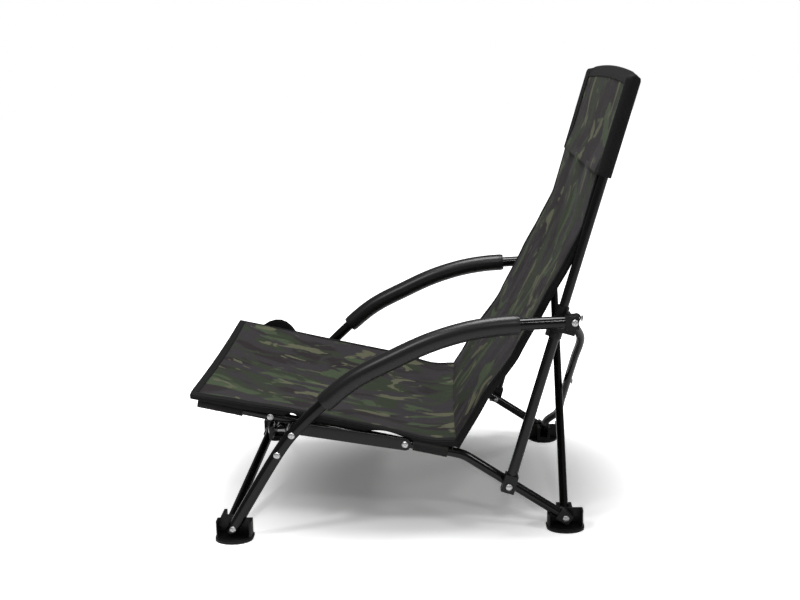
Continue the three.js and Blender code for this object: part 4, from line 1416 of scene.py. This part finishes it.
    def rucked(self, share: float) -> tuple[float, float]:
        """The slightly uneven section of a corner sleeve, for sweep."""
        return 1 + 0.012 * math.sin(share * 19), 1 + 0.015 * math.sin(share * 23)

    def back(self) -> None:
        """Builds the back sling, its binding and its rolled hems."""
        flat, body = self.back_flat, "back_sling"
        shape = Shape().sheet(self.cloth.back, (96, 96), flat, self.back_span)
        finish = self.finishes.back_cloth
        cloth = self.sewn(shape, "back_cloth", body, self.cloth_wall, finish, ["back_sling"])
        binding = self.strips("back_binding", self.cloth.back, flat, body, {"left": 16, "right": 11})
        self.gather([cloth, binding, *map(self.rolled_hem, Hand)], self.back_gather)

    def rolled_hem(self, hand: Hand) -> bpy.types.Object:
        """Builds the rolled hem along one side of the back."""
        line = []
        forward, inward = self.hem_set
        for step in range(self.hem_steps + 1):
            share = step / self.hem_steps
            out = LINES.rearward * (self.cloth.hem_half(share) - forward) - ACROSS * inward
            line.append(self.cloth.back(1.0, share) + out * MM)
        shape = Shape().sweep(line, self.cloth.hem_radius * MM, 24, self.hem_section)
        shape.unwrap((2, 1), (1.0, 1.4)).mirrored(hand)
        return self.sewn(shape, f"{hand.label}_back_hem", "back_sling", crease=70.0)

    def hem_section(self, share: float) -> tuple[float, float]:
        """The flat section of the back's hem, for sweep."""
        return self.hem_flat, self.cloth.hem_half(share) / self.cloth.hem_radius

    def head_pocket(self) -> None:
        """Builds the pocket that slips over the tops of the uprights, with its plain bands."""
        flat, body = self.head_flat, "left_upright"
        shape, top = Shape(), Shape()
        band = partial(self.cloth.pocket, proud=self.cloth.band_proud)
        for start, end in self.head_panels:
            shape.sheet(self.cloth.pocket, (96, 44), flat, (start, end, 0.0, 1.0))
            top.sheet(band, (96, 12), flat, (start, end, self.band_low, 1.0))
        finish = self.finishes.back_cloth
        cloth = self.sewn(shape, "head_cloth", body, self.head_wall, finish, ["head_pocket"])
        trim = [self.sewn(top, "head_top_band", body, self.trim_wall)]
        surface = partial(self.cloth.pocket, proud=self.cloth.sleeve_proud)
        for hand, start, end in self.head_ends:
            shape = Shape().sheet(surface, (64, 44), flat, (start, end, 0.0, 1.0))
            name, carrier = f"{hand.label}_head_sleeve", f"{hand.label}_upright"
            trim.append(self.sewn(shape, name, carrier, self.trim_wall))
        self.gather([cloth, trim[0]], self.head_gather)

    def side_pocket(self) -> None:
        """Dresses the pocket that hangs outside the right rail."""
        node = "side_pocket"
        shape = Shape.of_node(self.frame["nodes"][node]).unwrap((1, 2))
        obj = shape.piece(node + "_cloth", self.finishes.tape, "right_rail", Slot.MESH, [node])
        soften(obj, self.pocket_edge * MM)

    def build(self) -> None:
        """Builds every cloth."""
        self.seat()
        self.back()
        self.head_pocket()
        self.side_pocket()


@dataclass(frozen=True)
class Lens:
    """The camera, fitted to the pins that the photograph shows."""

    place: tuple = (2.364107, 0.072011, 0.883072)
    forward: tuple = (-0.97748969, -0.039193, -0.207311)
    right: tuple = (-0.03596953, 0.999167, -0.019299)
    focal: float = 53.724
    sensor: float = 36.0
    clip: tuple = (0.05, 100.0)

    def build(self) -> None:
        """Makes the camera the scene's."""
        data = bpy.data.cameras.new("camera")
        data.lens = self.focal
        data.sensor_width = self.sensor
        data.clip_start, data.clip_end = self.clip
        data.dof.use_dof = False
        camera = bpy.data.objects.new("camera", data)
        forward, right = Vector(self.forward), Vector(self.right)
        camera.matrix_world = basis(right, right.cross(forward), -forward, Vector(self.place))
        bpy.context.scene.collection.objects.link(camera)
        bpy.context.scene.camera = camera


@dataclass(frozen=True)
class Studio:
    """White sweep, large soft lamps and an even white surround. A lamp has its place, size and power."""

    ambient: float = 0.16
    lamps: tuple = (
        ("overhead", (-0.2, 0.0, 3.0), 1.5, 66.0),
        ("key", (1.6, -1.6, 3.0), 0.5, 24.0),
        ("rear", (1.4, 2.2, 2.4), 0.5, 14.0),
        ("front", (2.9, 0.5, 2.7), 0.4, 12.0),
    )
    aim: tuple = (0.0, 0.0, 0.3)
    floor_half: float = 14.0
    floor_drop: float = 0.4 * MM

    def build(self) -> None:
        """Builds the floor, the lamps and the world."""
        self.floor()
        for name, place, size, power in self.lamps:
            data = bpy.data.lights.new(name, "AREA")
            data.shape = "DISK"
            data.size = size
            data.energy = power
            lamp = bpy.data.objects.new(name, data)
            lamp.location = place
            lamp.rotation_euler = (Vector(self.aim) - Vector(place)).to_track_quat("-Z", "Y").to_euler()
            bpy.context.scene.collection.objects.link(lamp)
        self.world()

    def floor(self) -> None:
        """Lays the floor just under the feet."""
        shape = Shape()
        under = Matrix.Translation(-UP * self.floor_drop)
        bmesh.ops.create_grid(shape.bm, x_segments=1, y_segments=1, size=self.floor_half, matrix=under)
        mesh = bpy.data.meshes.new("floor")
        shape.bm.to_mesh(mesh)
        shape.bm.free()
        mesh.materials.append(StudioFloor().material())
        floor = bpy.data.objects.new("floor", mesh)
        bpy.context.scene.collection.objects.link(floor)

    def world(self) -> None:
        """Lights the scene evenly and looks white to the lens and through clear parts."""
        n = Nodes(bpy.data.worlds.new("studio"))
        bpy.context.scene.world = n.owner
        path = n.add("LightPath").outputs
        seen = n.math("MAXIMUM", path["Is Camera Ray"], path["Is Transmission Ray"])
        strength = n.add("Mix", Factor=seen, A=self.ambient, B=1.0).outputs["Result"]
        n.end(n.add("Background", Color=grey(1.0), Strength=strength), "OutputWorld")


def main() -> None:
    """Builds the whole scene."""
    logging.basicConfig(level=logging.INFO, format="%(message)s")
    bpy.context.scene.view_settings.view_transform = "Standard"
    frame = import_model()
    Lens().build()
    finishes = Finishes()
    for hand in Hand:
        SideFrame(hand, frame, finishes).build()
    front_foot, rear_foot = (side(y, LINES.brace_pin_z) for y in (LINES.front_y, LINES.rear_y))
    front = BracePair(
        "front", LINES.front_pin_x, front_foot, LINES.knee_pin, REARWARD, radius=8.85, offsets=(-9.9, 9.9),
        pin_length=34.0, overrun=3.2,
    )
    rise = (LINES.rear_top - rear_foot).normalized()
    pivot = Vector((0, rise.z, -rise.y))
    rear = BracePair(
        "rear", LINES.rear_pin_x, rear_foot, LINES.rear_top, pivot, radius=8, offsets=(0.0, 0.0),
        pin_length=28.0, bow=18.5,
    )
    for pair in (front, rear):
        pair.build(finishes, frame)
    RivetHead().build("front_centre_rivet", REARWARD, finishes, frame)
    for node in ("rear_centre_rivet", "rear_brace_from_left_rivet", "rear_brace_from_right_rivet"):
        RivetHead().build(node, pivot, finishes, frame)
    Upholstery(frame, finishes).build()
    Studio().build()


if __name__ == "__main__":
    main()
